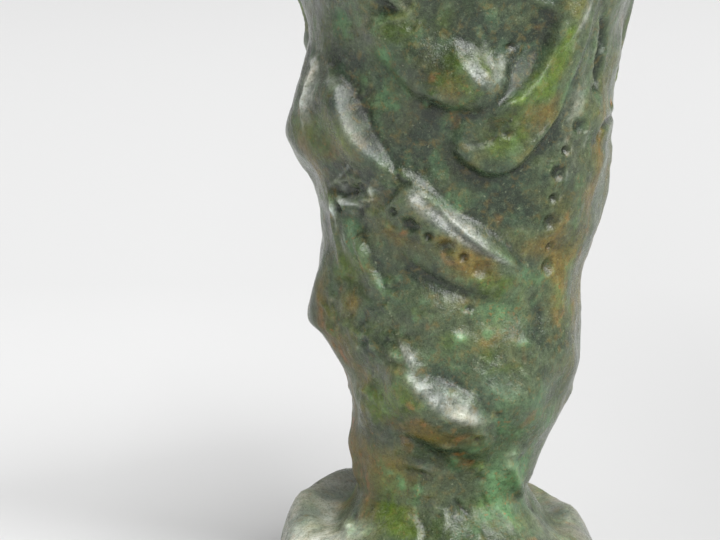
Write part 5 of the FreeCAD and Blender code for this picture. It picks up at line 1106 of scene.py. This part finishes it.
def relief(s, q, P):
    h = np.zeros_like(q)
    for f in FOLDS + BACK_FOLDS:
        h += fold(s, q, f)
    for s0, q0, a, b, turn, hh in LUMPS + BACK_LUMPS:
        h += hh * spot(s, q, s0, q0, a, b, turn)
    for n, m, p, hh in SWELL:
        h += hh * np.sin(n * s / RREF + m * q + p)
    for f in FINE:
        h += fold(s, q, f, 3, 0.12)
    for s0, q0, a, b, turn, hh in PIMPLES:
        h += hh * spot(s, q, s0, q0, a, b, turn)
    rough = np.zeros_like(q)
    for s0, q0, a, b, w in ROUGH:
        rough = np.maximum(rough, w * spot(s, q, s0, q0, a, b, 0))
    plain = np.ones_like(q)
    for s0, q0, r, kind in PUNCH:
        x, y = local(s, q, s0, q0)
        d = np.sqrt(x * x + y * y)
        plain *= 1 - 0.6 * np.exp(-(d / (1.4 * r)) ** 4)
        if kind == "bowl":
            h += -0.62 * np.exp(-(d / r) ** 2.6) + 0.13 * np.exp(-((d - r - 0.45) / 0.26) ** 2)
        else:
            h += -0.50 * np.exp(-(d / r) ** 3) + 0.12 * np.exp(-((d - r - 0.35) / 0.22) ** 2)
    for angle, z in PLUGS:
        x, y = local(s, q, math.radians(angle) * RREF, z)
        d = np.sqrt(x * x + y * y)
        h -= 0.12 * np.exp(-((d - 1.52) / 0.2) ** 2)
    # modelling strokes and casting skin
    h += 0.20 * fbm(P, 6.5, 2, 3.1) + 0.13 * fbm(P, 2.6, 2, 9.7) * (0.6 + 1.3 * rough) * plain
    stroke = np.stack([(P[..., 0] * 0.8 + P[..., 2] * 0.6), P[..., 1] * 0.5, (P[..., 2] * 0.8 - P[..., 0] * 0.6) * 0.28], -1)
    h += 0.07 * fbm(stroke, 1.3, 2, 21.0) * plain
    h += rough * plain * 0.30 * (0.45 - np.abs(fbm(P, 2.1, 2, 33.0)) * 2.0)
    h += 0.075 * fbm(P, 1.0, 2, 41.0) * (0.6 + rough) * plain
    return h, rough


def surface(th, T):
    P = base(th, T)
    e = 0.004
    du = base(th + e, T) - base(th - e, T)
    dv = base(th, np.minimum(T + e, T_TOP + 1)) - base(th, np.maximum(T - e, 0))
    N = np.cross(du, dv)
    N /= np.linalg.norm(N, axis=-1, keepdims=True) + 1e-12
    s, q = ((th + math.pi) % (2 * math.pi) - math.pi) * RREF, q_of(T)
    h, rough = relief(s, q, P)
    h = h * ease((T - 0.15) / 0.9) * ease((T_TOP - T) / 0.55)
    return P + N * h[..., None], h, rough, s, q


# =============================================================================== mesh of the casting
FRONT, BACK = 222, 128
edge = math.radians(97)
th_front = np.linspace(-edge, edge, FRONT, endpoint=False)
th_back = np.linspace(edge, 2 * math.pi - edge, BACK, endpoint=False)
th = np.concatenate([th_front, th_back])
# even out the step where the two spacings meet
for _ in range(30):
    nxt = np.roll(th, -1).copy()
    prv = np.roll(th, 1).copy()
    nxt[-1] += 2 * math.pi
    prv[0] -= 2 * math.pi
    th = 0.5 * th + 0.25 * (nxt + prv)
T_low = np.linspace(0, 3.2, 18, endpoint=False)
T_mid = np.linspace(3.2, T_NECK + (78.5 - Z_NECK) / DZ, 222, endpoint=False)
T_high = np.linspace(T_NECK + (78.5 - Z_NECK) / DZ, T_TOP, 17)
T = np.concatenate([T_low, T_mid, T_high])
NU, NV = len(th), len(T)
TH, TT = np.meshgrid(th, T)
P, H, ROUGHNESS, S, Q = surface(TH, TT)
P[0, :, 2] = EDGE_Z
P[-1, :, 2] = Z_TOP


def blur(a, n):
    for _ in range(n):
        a = 0.5 * a + 0.25 * (np.roll(a, 1, 1) + np.roll(a, -1, 1))
        b = a.copy()
        b[1:-1] = 0.5 * a[1:-1] + 0.25 * (a[2:] + a[:-2])
        a = b
    return a


fine_edge = H - blur(H, 10)
broad_edge = H - blur(H, 90)


# ---- colour of the patina, laid on the mesh, with painted highlights on facets, streaks and the foot
def lin(c):
    c = np.asarray(c, float) / 255.0
    return np.where(c <= 0.04045, c / 12.92, ((c + 0.055) / 1.055) ** 2.4)


# patina tones; the two palest tones are painted highlights for streaks and glints, and the foot's grey tone is
# lightened to stand in for its highlights
TONES = {"base": (70, 82, 57), "grey": (84, 87, 77), "foot_grey_and_highlight": (134, 134, 124), "waxed": (86, 90, 87), "wear_and_highlight": (154, 158, 149), "dark": (42, 54, 40), "ochre": (101, 87, 37),
         "lime": (78, 98, 27), "verd": (82, 120, 80), "rust": (142, 94, 46), "rubbed_and_glint": (206, 209, 202)}

AX = 10.0
n_big = fbm(P, 13.0, 3, 61.0)
n_mid = fbm(P, 4.2, 3, 71.0)
n_sml = fbm(P, 1.5, 3, 83.0)
n_fin = fbm(P, 0.6, 2, 97.0)
weights = {k: np.zeros_like(Q) for k in list(TONES) + ["wax", "pale", "matte", "glint", "dim"]}
for kind, s0, q0, a, b, turn, w in ZONES:
    weights[kind] = weights[kind] + w * spot(S, Q, s0, q0, a, b, turn)
wrapped = (TH + math.pi) % (2 * math.pi) - math.pi
front = np.exp(-(np.maximum(np.abs(wrapped) - math.radians(85), 0) / 0.25) ** 2)
behind = 1 - front
behind = behind * np.clip(1.0 + 0.9 * n_mid + 0.5 * n_sml, 0.25, 1.6)
weights["ochre"] += behind * ease((fbm(P, 10.0, 4, 131.0) + 0.12) * 3) * 0.7
weights["lime"] += behind * ease((fbm(P, 8.0, 4, 141.0) + 0.02) * 3) * 0.6
weights["verd"] += behind * ease((fbm(P, 9.0, 4, 151.0) + 0.03) * 3) * 0.6 + 0.1 * ease((12 - Q) / 6.0) * ease((fbm(P, 9.0, 2, 161.0) + 0.2) * 3)
weights["dark"] += behind * ease((fbm(P, 10.0, 4, 171.0) - 0.02) * 3) * 0.5
weights["grey"] += behind * ease((fbm(P, 8.0, 4, 181.0) - 0.05) * 3) * 0.5
weights["rust"] = weights["rust"] * ease((fbm(P, 1.1, 2, 189.0) + 0.02) * 4) + ease((fbm(P, 3.4, 2, 191.0) - 0.42) * 6) * 0.5
# grey patina of the foot, lightened to stand in for its highlights
weights["foot_grey_and_highlight"] += 0.95 * ease((9 - Q) / 5.0) * (0.75 + 0.6 * fbm(P, 6.0, 2, 231.0))
weights["ochre"] += 0.12 * ease((n_mid - 0.05) * 4) + 0.22 * ease(broad_edge / 0.9) * ease((n_mid + 0.3) * 2)
weights["verd"] += 0.35 * ease((fbm(P, 3.0, 3, 201.0) - 0.12) * 5)
weights["lime"] += 0.22 * ease((fbm(P, 3.6, 3, 211.0) - 0.15) * 5)
weights["dark"] += 0.55 * ease(-fine_edge / 0.25) + 0.65 * ease(-broad_edge / 0.9) + 0.25 * ease((-n_mid - 0.1) * 4)
weights["grey"] += 0.25 * ease((fbm(P, 2.8, 3, 221.0) - 0.15) * 5)

colour = np.ones(P.shape) * np.array(TONES["base"], float)
jit = 1.0 + 0.9 * n_sml + 0.5 * n_fin
for kind in ("foot_grey_and_highlight", "grey", "dark", "ochre", "lime", "verd", "rust"):
    w = ease(weights[kind] * np.clip(0.75 + 0.9 * n_mid * (1 if kind in ("ochre", "verd") else -1) + 0.55 * jit * 0.45, 0.1, 2.0))[..., None] * 0.92
    colour = colour * (1 - w) + np.array(TONES[kind], float) * w
wax_w = ease(weights["wax"] * np.clip(0.9 + 0.7 * n_mid, 0.2, 1.5))[..., None] * 0.85
colour = colour * (1 - wax_w) + np.array(TONES["waxed"], float) * wax_w
# painted highlights: pale streaks and patches laid where facets catch the lights, with a few pale patina spots
pale_and_highlight_w = ease(weights["pale"] * np.clip(0.95 + 0.9 * n_sml + 0.4 * n_fin, 0.2, 1.5))[..., None] * 0.8
colour = colour * (1 - pale_and_highlight_w) + np.array(TONES["wear_and_highlight"], float) * pale_and_highlight_w
# painted glints: narrow near-white highlights on crests and in the crumpled pocket
glint_w = ease(weights["glint"] * np.clip(1.0 + 0.7 * n_sml + 0.5 * n_fin, 0.3, 1.5))[..., None] * 0.8
colour = colour * (1 - glint_w) + np.array(TONES["rubbed_and_glint"], float) * glint_w
# grey patina of the foot's sides, lightened as a painted highlight, most on its front-left
aside = ease((np.abs(wrapped) - 0.62) / 0.5)
left_foot_grey_and_highlight = (1.0 + 0.86 * np.exp(-((wrapped + 1.15) / 0.62) ** 2))[..., None]
foot_w = (0.85 * ease((13.0 - Q) / 5.0) * aside * np.clip(0.85 + 1.1 * fbm(P, 5.0, 3, 241.0), 0.15, 1.15))[..., None]
colour = colour * (1 - foot_w) + np.array(TONES["foot_grey_and_highlight"], float) * left_foot_grey_and_highlight * foot_w
shade = 1.0 + 0.10 * n_big + 0.13 * n_mid + 0.16 * n_sml + 0.10 * n_fin
shade = shade * (1.0 + np.clip(fine_edge * 0.55, -0.30, 0.22) + np.clip(broad_edge * 0.10, -0.16, 0.12))
shade = shade * (1.0 - 0.3 * np.clip(weights["dim"], -0.8, 1.0))
colour = colour * shade[..., None]
tint = np.stack([1 + 0.05 * n_mid + 0.05 * n_fin, 1 + 0.0 * n_mid, 1 - 0.07 * n_mid + 0.03 * n_sml], -1)
colour = np.clip(colour * tint, 4, 250)
colour_lin = lin(colour)
wear = np.clip(0.5 + fine_edge * 1.2 + 0.2 * n_sml, 0, 1)
flecks = ease(weights["verd"] * 0.9 + 0.5 * weights["ochre"]) * (1 - wax_w[..., 0])
chalk = flecks + 0.8 * ease(weights["matte"])

# ---- closed shell: outer skin, top land, mouth, core cavity, recess
rings = [P]
cs, sn = np.sin(th), -np.cos(th)


def ring(r, z):
    return np.stack([r * cs, r * sn, np.full(NU, z)], -1)


top = P[-1]
land = ring(16.0, Z_TOP)
inner = [top * 0.985 + ring(16.0, Z_TOP) * 0.015, land, ring(12.4, Z_TOP), ring(12.1, Z_TOP - 0.3), ring(12.1, 80.0)]
inner += [ring(r, z) for z, r in CORE]
inner += [ring(13.5, 8.0), ring(13.5, 4.6), ring(17.0, 4.6), ring(17.0, 1.0), ring(19.8, 1.0)]
allv = np.concatenate([P.reshape(-1, 3)] + inner, 0)
nr = NV + len(inner)
idx = np.arange(nr * NU).reshape(nr, NU)
a = idx
b = np.roll(idx, -1, 1)
nxt = np.roll(idx, -1, 0)
nxtb = np.roll(b, -1, 0)
faces = np.stack([a, b, nxtb, nxt], -1).reshape(-1, 4)
me = bpy.data.meshes.new("drapery_casting")
me.vertices.add(len(allv))
me.vertices.foreach_set("co", (allv * MM).astype(np.float32).ravel())
me.loops.add(len(faces) * 4)
me.loops.foreach_set("vertex_index", faces.ravel().astype(np.int32))
me.polygons.add(len(faces))
me.polygons.foreach_set("loop_start", np.arange(0, len(faces) * 4, 4, dtype=np.int32))
me.polygons.foreach_set("loop_total", np.full(len(faces), 4, dtype=np.int32))
me.update(calc_edges=True)
me.validate()
me.polygons.foreach_set("use_smooth", np.ones(len(faces), dtype=bool))
full = np.ones((len(allv), 4), np.float32)
full[:, :3] = lin((58, 54, 40))
full[: NV * NU, :3] = colour_lin.reshape(-1, 3)
land_rows = slice(NV * NU, (NV + 3) * NU)
full[land_rows, :3] = lin((84, 82, 58))
at = me.attributes.new("patina", "FLOAT_COLOR", "POINT")
at.data.foreach_set("color", full.ravel())
wr = np.full(len(allv), 0.4, np.float32)
wr[: NV * NU] = wear.ravel()
aw = me.attributes.new("wear", "FLOAT", "POINT")
aw.data.foreach_set("value", wr)
sk = np.full(len(allv), 0.0, np.float32)
sk[: NV * NU] = np.clip(wax_w[..., 0] / 0.85, 0, 1).ravel()
as_ = me.attributes.new("rubbed_and_glint", "FLOAT", "POINT")
as_.data.foreach_set("value", sk)
fl = np.full(len(allv), 0.0, np.float32)
fl[: NV * NU] = np.clip(flecks, 0, 1).ravel()
af_ = me.attributes.new("flecks", "FLOAT", "POINT")
af_.data.foreach_set("value", fl)
ck = np.full(len(allv), 0.3, np.float32)
ck[: NV * NU] = np.clip(chalk, 0, 1).ravel()
ac = me.attributes.new("chalk", "FLOAT", "POINT")
ac.data.foreach_set("value", ck)
stem = bpy.data.objects.new("drapery_casting", me)
scene.collection.objects.link(stem)
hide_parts("drapery_stem")
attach(stem, "root")

# ---- plugs of the core pins: slightly domed caps that follow the skin, with their shanks
pv, pf, pc = [], [], []
for angle, z0 in PLUGS:
    s0 = math.radians(angle) * RREF
    start = len(pv)
    spokes, rows = 32, 6
    rr = np.array([0.0] + [1.42 * (k / rows) for k in range(1, rows + 1)])
    pts = [(0.0, 0.0)] + [(r * math.cos(2 * math.pi * k / spokes), r * math.sin(2 * math.pi * k / spokes)) for r in rr[1:] for k in range(spokes)]
    pts = np.array(pts)
    qq = z0 + pts[:, 1]
    ss = s0 + pts[:, 0] / stretch(np.full(len(pts), z0))
    thp = ss / RREF
    X, _, _, _, _ = surface(thp[None, :], (T_NECK + (qq - Z_NECK) / DZ)[None, :])
    X = X[0]
    d = np.array([math.sin(math.radians(angle)), -math.cos(math.radians(angle)), 0.0])
    rad = np.sqrt((pts ** 2).sum(-1))
    X = X + d * (0.07 - 0.12 * (rad / 1.42) ** 4)[:, None]
    pv += [tuple(v) for v in X]
    rim = list(range(start + 1 + (rows - 1) * spokes, start + 1 + rows * spokes))
    for k in range(spokes):
        pf.append((start, start + 1 + k, start + 1 + (k + 1) % spokes))
        for r in range(rows - 1):
            i0 = start + 1 + r * spokes
            i1 = i0 + spokes
            pf.append((i0 + k, i1 + k, i1 + (k + 1) % spokes, i0 + (k + 1) % spokes))
    low = len(pv)
    pv += [tuple(X[1 + (rows - 1) * spokes + k] - d * 3.0) for k in range(spokes)]
    for k in range(spokes):
        pf.append((rim[k], low + k, low + (k + 1) % spokes, rim[(k + 1) % spokes]))
    pf.append(tuple(low + k for k in reversed(range(spokes))))
pm = bpy.data.meshes.new("core_plug_caps")
pm.from_pydata([tuple(c * MM for c in v) for v in pv], [], pf)
pm.validate()
pm.polygons.foreach_set("use_smooth", np.ones(len(pm.polygons), dtype=bool))
pm.update()
plug = bpy.data.objects.new("core_plug_caps", pm)
scene.collection.objects.link(plug)
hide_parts("core_plugs")
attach(plug, "root")


# =============================================================================== materials
def new_material(name):
    m = bpy.data.materials.new(name)
    m.use_nodes = True
    nt = m.node_tree
    nt.nodes.clear()
    out = nt.nodes.new("ShaderNodeOutputMaterial")
    bs = nt.nodes.new("ShaderNodeBsdfPrincipled")
    nt.links.new(bs.outputs[0], out.inputs[0])
    return m, nt, bs


def node(nt, kind, **vals):
    n = nt.nodes.new(kind)
    for k, v in vals.items():
        if k.startswith("in_"):
            n.inputs[k[3:].replace("_", " ")].default_value = v
        else:
            setattr(n, k, v)
    return n


def mix(nt, fac, a, b, blend="MIX"):
    n = nt.nodes.new("ShaderNodeMix")
    n.data_type = "RGBA"
    n.blend_type = blend
    n.clamp_factor = True
    for src, sock in ((fac, n.inputs[0]), (a, n.inputs[6]), (b, n.inputs[7])):
        if isinstance(src, (int, float)):
            sock.default_value = src
        elif isinstance(src, (tuple, list)):
            sock.default_value = tuple(src) + ((1.0,) if len(src) == 3 else ())
        else:
            nt.links.new(src, sock)
    return n.outputs[2]


def math_node(nt, op, a, b=0.0, clamp=False):
    n = nt.nodes.new("ShaderNodeMath")
    n.operation = op
    n.use_clamp = clamp
    for src, sock in ((a, n.inputs[0]), (b, n.inputs[1])):
        if isinstance(src, (int, float)):
            sock.default_value = src
        else:
            nt.links.new(src, sock)
    return n.outputs[0]


def ramp(nt, src, lo, hi, to_lo=0.0, to_hi=1.0):
    n = nt.nodes.new("ShaderNodeMapRange")
    n.clamp = True
    n.inputs[1].default_value = lo
    n.inputs[2].default_value = hi
    n.inputs[3].default_value = to_lo
    n.inputs[4].default_value = to_hi
    nt.links.new(src, n.inputs[0])
    return n.outputs[0]


def noise_tex(nt, vec, size_mm, detail=3.0, rough=0.55, distort=0.0):
    n = nt.nodes.new("ShaderNodeTexNoise")
    n.inputs["Scale"].default_value = 1.0 / (size_mm * MM)
    n.inputs["Detail"].default_value = detail
    n.inputs["Roughness"].default_value = rough
    n.inputs["Distortion"].default_value = distort
    nt.links.new(vec, n.inputs["Vector"])
    return n.outputs["Fac"]


def lin3(c):
    return tuple(float(x) for x in lin(c))


def patina_material(name, use_attr=True, flat=(92, 100, 74)):
    m, nt, bs = new_material(name)
    tc = nt.nodes.new("ShaderNodeTexCoord")
    vec = tc.outputs["Object"]
    if use_attr:
        at = nt.nodes.new("ShaderNodeAttribute")
        at.attribute_name = "patina"
        c = at.outputs["Color"]
        aw = nt.nodes.new("ShaderNodeAttribute")
        aw.attribute_name = "wear"
        wear_f = aw.outputs["Fac"]
        ac_ = nt.nodes.new("ShaderNodeAttribute")
        ac_.attribute_name = "chalk"
        chalk_f = ac_.outputs["Fac"]
        ab_ = nt.nodes.new("ShaderNodeAttribute")
        ab_.attribute_name = "rubbed_and_glint"
        grain = math_node(nt, "ADD", ramp(nt, ab_.outputs["Fac"], 0.0, 1.0, 0.42, 0.20), math_node(nt, "MULTIPLY", chalk_f, 0.24))
        ae_ = nt.nodes.new("ShaderNodeAttribute")
        ae_.attribute_name = "flecks"
        fleck = ae_.outputs["Fac"]
    else:
        n1 = noise_tex(nt, vec, 3.0, 4)
        c = mix(nt, ramp(nt, n1, 0.35, 0.65), lin3(flat), tuple(x * 0.62 for x in lin3(flat)))
        wear_f = noise_tex(nt, vec, 2.0, 2)
        chalk_f = ramp(nt, noise_tex(nt, vec, 1.5, 2), 0.45, 0.65)
        grain = 0.42
        fleck = chalk_f
    # fine mottling: two scales of light and dark, a cool bloom and warm flecks
    a1 = noise_tex(nt, vec, 0.85, 4, 0.62, 0.4)
    a2 = noise_tex(nt, vec, 0.28, 3, 0.6)
    a3 = noise_tex(nt, vec, 0.14, 2, 0.6)
    c = mix(nt, ramp(nt, a1, 0.30, 0.50, 0.55, 0.0), c, (0.30, 0.34, 0.27), "MULTIPLY")
    c = mix(nt, ramp(nt, a1, 0.54, 0.76, 0.0, 0.40), c, mix(nt, 0.5, c, lin3((150, 166, 130))))
    c = mix(nt, ramp(nt, a3, 0.32, 0.44, 0.42, 0.0), c, (0.36, 0.38, 0.30), "MULTIPLY")
    c = mix(nt, ramp(nt, a3, 0.58, 0.72, 0.0, 0.30), c, mix(nt, 0.5, c, lin3((150, 158, 124))))
    c = mix(nt, ramp(nt, a2, 0.36, 0.50, 0.52, 0.0), c, (0.40, 0.42, 0.34), "MULTIPLY")
    c = mix(nt, ramp(nt, a2, 0.58, 0.74, 0.0, 0.20), c, mix(nt, 0.5, c, lin3((136, 150, 110))))
    b1 = noise_tex(nt, vec, 1.2, 4, 0.65, 0.6)
    c = mix(nt, ramp(nt, b1, 0.54, 0.70, 0.0, 0.38), c, lin3((118, 100, 48)))
    b2 = noise_tex(nt, vec, 2.3, 4, 0.6, 0.3)
    c = mix(nt, ramp(nt, b2, 0.56, 0.72, 0.0, 0.22), c, lin3((92, 124, 92)))
    sp = noise_tex(nt, vec, 0.5, 1, 0.4)
    c = mix(nt, ramp(nt, sp, 0.72, 0.78, 0.0, 0.35), c, lin3((150, 156, 126)))
    rs = noise_tex(nt, vec, 0.46, 2, 0.55, 0.3)
    c = mix(nt, math_node(nt, "MULTIPLY", ramp(nt, rs, 0.60, 0.70, 0.0, 0.62), fleck), c, lin3((152, 96, 44)))
    nt.links.new(c, bs.inputs["Base Color"])
    r1 = noise_tex(nt, vec, 0.6, 3, 0.6)
    rr = ramp(nt, r1, 0.3, 0.7, 0.18, 0.34)
    rr = math_node(nt, "SUBTRACT", rr, math_node(nt, "MULTIPLY", wear_f, 0.10))
    rr = math_node(nt, "ADD", rr, math_node(nt, "MULTIPLY", chalk_f, 0.26))
    nt.links.new(math_node(nt, "ADD", rr, 0.0, True), bs.inputs["Roughness"])
    bs.inputs["Metallic"].default_value = 0.0
    bs.inputs["IOR"].default_value = 1.5
    bs.inputs["Specular IOR Level"].default_value = 0.5
    bs.inputs["Coat Weight"].default_value = 0.0
    bs.inputs["Coat Roughness"].default_value = 0.28
    h1 = noise_tex(nt, vec, 0.75, 4, 0.6, 0.3)
    h2 = noise_tex(nt, vec, 0.20, 3, 0.6)
    hh = math_node(nt, "ADD", math_node(nt, "MULTIPLY", h1, 1.0), math_node(nt, "MULTIPLY", h2, grain))
    bump = nt.nodes.new("ShaderNodeBump")
    bump.inputs["Strength"].default_value = 0.55
    bump.inputs["Distance"].default_value = 0.00022
    nt.links.new(hh, bump.inputs["Height"])
    nt.links.new(bump.outputs[0], bs.inputs["Normal"])
    return m


mat_stem = patina_material("waxed_patina")
stem.data.materials.append(mat_stem)
plug.data.materials.append(patina_material("plug_patina", False, (104, 104, 72)))


def lathe_material(name, body, wear_and_highlight, radii, rough=(0.3, 0.45), metallic=0.0, rings_mm=0.35, spec=0.5, heights=()):
    """Turned metal: fine rings round the axis, brighter where the arrises wear."""
    m, nt, bs = new_material(name)
    tc = nt.nodes.new("ShaderNodeTexCoord")
    vec = tc.outputs["Object"]
    sep = nt.nodes.new("ShaderNodeSeparateXYZ")
    nt.links.new(vec, sep.inputs[0])
    x2 = math_node(nt, "MULTIPLY", sep.outputs[0], sep.outputs[0])
    y2 = math_node(nt, "MULTIPLY", sep.outputs[1], sep.outputs[1])
    r = math_node(nt, "SQRT", math_node(nt, "ADD", x2, y2))
    n1 = noise_tex(nt, vec, 3.5, 4, 0.6, 0.4)
    n2 = noise_tex(nt, vec, 0.7, 3, 0.6)
    c = mix(nt, ramp(nt, n1, 0.35, 0.65), tuple(lin3(body)), tuple(x * 0.6 for x in lin3(body)))
    c = mix(nt, ramp(nt, n2, 0.45, 0.7, 0.0, 0.5), c, lin3(tuple(min(255, int(v * 1.22)) for v in body)))
    for rad, half in radii:
        d = math_node(nt, "ABSOLUTE", math_node(nt, "SUBTRACT", r, rad * MM))
        w = ramp(nt, d, 0.0, half * MM, 0.85, 0.0)
        w = math_node(nt, "MULTIPLY", w, ramp(nt, n2, 0.30, 0.62))
        c = mix(nt, w, c, lin3(wear_and_highlight))
    nt.links.new(c, bs.inputs["Base Color"])
    nt.links.new(ramp(nt, n2, 0.3, 0.7, rough[0], rough[1]), bs.inputs["Roughness"])
    bs.inputs["Metallic"].default_value = metallic
    bs.inputs["Specular IOR Level"].default_value = spec
    comb = nt.nodes.new("ShaderNodeCombineXYZ")
    nt.links.new(r, comb.inputs[0])
    nt.links.new(math_node(nt, "MULTIPLY", sep.outputs[2], 1.0), comb.inputs[2])
    rings = noise_tex(nt, comb.outputs[0], rings_mm, 2, 0.6)
    hh = math_node(nt, "ADD", rings, math_node(nt, "MULTIPLY", n2, 0.5))
    bump = nt.nodes.new("ShaderNodeBump")
    bump.inputs["Strength"].default_value = 0.35
    bump.inputs["Distance"].default_value = 0.00008
    nt.links.new(hh, bump.inputs["Height"])
    nt.links.new(bump.outputs[0], bs.inputs["Normal"])
    return m


def dress(name, material):
    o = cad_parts[name]
    for s in o.material_slots:
        s.material = material
    if not o.material_slots:
        o.data.materials.append(material)


dress("seat_plate", lathe_material("turned_bronze_patina", (88, 86, 58), (168, 142, 82), [(19.9, 0.55), (18.55, 0.35), (1.9, 0.5)], (0.32, 0.46), 0.15))
dress("seat_dowels", lathe_material("drawn_bronze", (176, 140, 84), (200, 168, 112), [], (0.28, 0.4), 1.0, 0.2))
zinc = lathe_material("zinc_steel", (168, 170, 172), (205, 206, 206), [(13.2, 0.3)], (0.28, 0.42), 1.0, 0.3)
for name in ("bottom_plate", "plain_washer", "spring_washer", "tie_nut", "tie_rod"):
    dress(name, zinc)

# ---- felt ring: a soft pressed ring with a slightly fuzzy, rounded edge
lo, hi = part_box("base_felt")
R_OUT, R_IN, F0, F1 = 20.25, 15.05, 0.0, 1.0
fn = 240
prof = []
for k in range(9):
    a_ = -math.pi / 2 + math.pi * k / 8
    prof.append((R_OUT - 0.30 + 0.30 * math.cos(a_), 0.5 + 0.5 * math.sin(a_)))
prof += [(R_OUT - 0.30 - (R_OUT - R_IN - 0.6) * k / 8, 1.0) for k in range(1, 8)]
for k in range(9):
    a_ = math.pi / 2 + math.pi * k / 8
    prof.append((R_IN + 0.30 + 0.30 * math.cos(a_), 0.5 + 0.5 * math.sin(a_)))
prof += [(R_IN + 0.30 + (R_OUT - R_IN - 0.6) * k / 8, 0.0) for k in range(1, 8)]
prof = np.array(prof)
fa = np.linspace(0, 2 * math.pi, fn, endpoint=False)
FV = np.stack([prof[:, None, 0] * np.sin(fa)[None], -prof[:, None, 0] * np.cos(fa)[None], prof[:, None, 1] + 0 * fa[None]], -1)
wob = fbm(FV, 0.8, 2, 301.0)
edge_w = np.minimum(np.abs(prof[:, 0] - R_OUT), np.abs(prof[:, 0] - R_IN))[:, None] < 0.35
radial = np.stack([np.sin(fa), -np.cos(fa), 0 * fa], -1)[None]
sgn = np.where(prof[:, 0] > 17.6, 1.0, -1.0)[:, None, None]
FV = FV + radial * sgn * (np.minimum(wob, 0.0) * 0.16 * edge_w)[..., None]
FV[..., 2] = np.clip(FV[..., 2] + np.where(FV[..., 2] > 0.5, -1, 1) * np.abs(fbm(FV, 1.1, 2, 311.0)) * 0.05, 0.0, 1.0)
nf = len(prof)
fi = np.arange(nf * fn).reshape(nf, fn)
ff = np.stack([fi, np.roll(fi, -1, 1), np.roll(np.roll(fi, -1, 1), -1, 0), np.roll(fi, -1, 0)], -1).reshape(-1, 4)
fm = bpy.data.meshes.new("felt_ring")
fm.from_pydata([tuple(v) for v in (FV.reshape(-1, 3) * MM)], [], [tuple(int(i) for i in f) for f in ff])
fm.validate()
fm.polygons.foreach_set("use_smooth", np.ones(len(fm.polygons), dtype=bool))
fm.update()
felt = bpy.data.objects.new("felt_ring", fm)
scene.collection.objects.link(felt)
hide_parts("base_felt")
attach(felt, "root")
m, nt, bs = new_material("pressed_felt")
tc = nt.nodes.new("ShaderNodeTexCoord")
v = tc.outputs["Object"]
f1 = noise_tex(nt, v, 0.35, 4, 0.7, 1.5)
f2 = noise_tex(nt, v, 1.8, 3, 0.6, 0.5)
c = mix(nt, ramp(nt, f1, 0.3, 0.7), lin3((30, 42, 34)), lin3((66, 82, 68)))
c = mix(nt, ramp(nt, f2, 0.4, 0.7, 0.0, 0.35), c, lin3((46, 52, 44)))
nt.links.new(c, bs.inputs["Base Color"])
bs.inputs["Roughness"].default_value = 0.95
bs.inputs["Sheen Weight"].default_value = 0.35
bs.inputs["Sheen Roughness"].default_value = 0.6
bump = nt.nodes.new("ShaderNodeBump")
bump.inputs["Strength"].default_value = 0.8
bump.inputs["Distance"].default_value = 0.00012
nt.links.new(f1, bump.inputs["Height"])
nt.links.new(bump.outputs[0], bs.inputs["Normal"])
fm.materials.append(m)

# =============================================================================== floor and light
flm = bpy.data.meshes.new("floor")
rows = [(-4, -4, 0), (4, -4, 0), (4, 4, 0), (-4, 4, 0)]
flm.from_pydata(rows, [], [(0, 1, 2, 3)])
floor = bpy.data.objects.new("floor", flm)
scene.collection.objects.link(floor)
m, nt, bs = new_material("floor_with_painted_light")
tc = nt.nodes.new("ShaderNodeTexCoord")
sep = nt.nodes.new("ShaderNodeSeparateXYZ")
nt.links.new(tc.outputs["Object"], sep.inputs[0])
# painted light on the floor: lighter on the near left and towards the back, darker on the near right, evening out the
# lamps' falloff and the key's shadow
across = ramp(nt, sep.outputs[0], -0.05, 0.05)
near = mix(nt, across, (0.71, 0.71, 0.71), (0.50, 0.50, 0.50))
mid_ = mix(nt, across, (0.645, 0.645, 0.645), (0.61, 0.61, 0.61))
c = mix(nt, ramp(nt, sep.outputs[1], 0.04, 0.22), near, mid_)
c = mix(nt, ramp(nt, sep.outputs[1], 0.22, 1.0), c, (0.845, 0.845, 0.845))
nt.links.new(c, bs.inputs["Base Color"])
bs.inputs["Roughness"].default_value = 0.9
bs.inputs["Specular IOR Level"].default_value = 0.1
flm.materials.append(m)

world = bpy.data.worlds.new("studio")
scene.world = world
world.use_nodes = True
wt = world.node_tree
bg = wt.nodes["Background"]
wc = wt.nodes.new("ShaderNodeTexCoord")
ws = wt.nodes.new("ShaderNodeSeparateXYZ")
wt.links.new(wc.outputs["Generated"], ws.inputs[0])
wr_ = wt.nodes.new("ShaderNodeValToRGB")
wt.links.new(ws.outputs[2], wr_.inputs[0])
wr_.color_ramp.elements[0].position = 0.0
wr_.color_ramp.elements[0].color = (0.60, 0.60, 0.60, 1)
wr_.color_ramp.elements[1].position = 0.7
wr_.color_ramp.elements[1].color = (0.30, 0.30, 0.30, 1)
side_ = ramp(wt, ws.outputs[0], -0.9, 0.1, 0.55, 1.0)
wt.links.new(mix(wt, 1.0, wr_.outputs[0], side_, "MULTIPLY"), bg.inputs[0])
bg.inputs[1].default_value = 1.0


def area(name, loc, aim, size, power, color=(1, 1, 1)):
    d = bpy.data.lights.new(name, "AREA")
    d.shape = "RECTANGLE"
    d.size, d.size_y = size
    d.energy = power
    d.color = color
    o = bpy.data.objects.new(name, d)
    o.location = loc
    o.rotation_euler = (Vector(aim) - Vector(loc)).to_track_quat("-Z", "Y").to_euler()
    o.visible_camera = False
    scene.collection.objects.link(o)
    return o


area("key", (0.94, -1.25, 1.41), (0, 0, 0.05), (1.8, 1.2), 66.0)
area("overhead", (0.15, 0.1, 1.9), (0, 0, 0.05), (2.0, 1.8), 14.0)
area("left", (-1.57, 0.73, 1.0), (0, 0, 0.05), (0.5, 0.9), 4.0)

scene.view_settings.view_transform = "Standard"
scene.view_settings.look = "None"
scene.view_settings.exposure = 0.0
scene.view_settings.gamma = 1.0
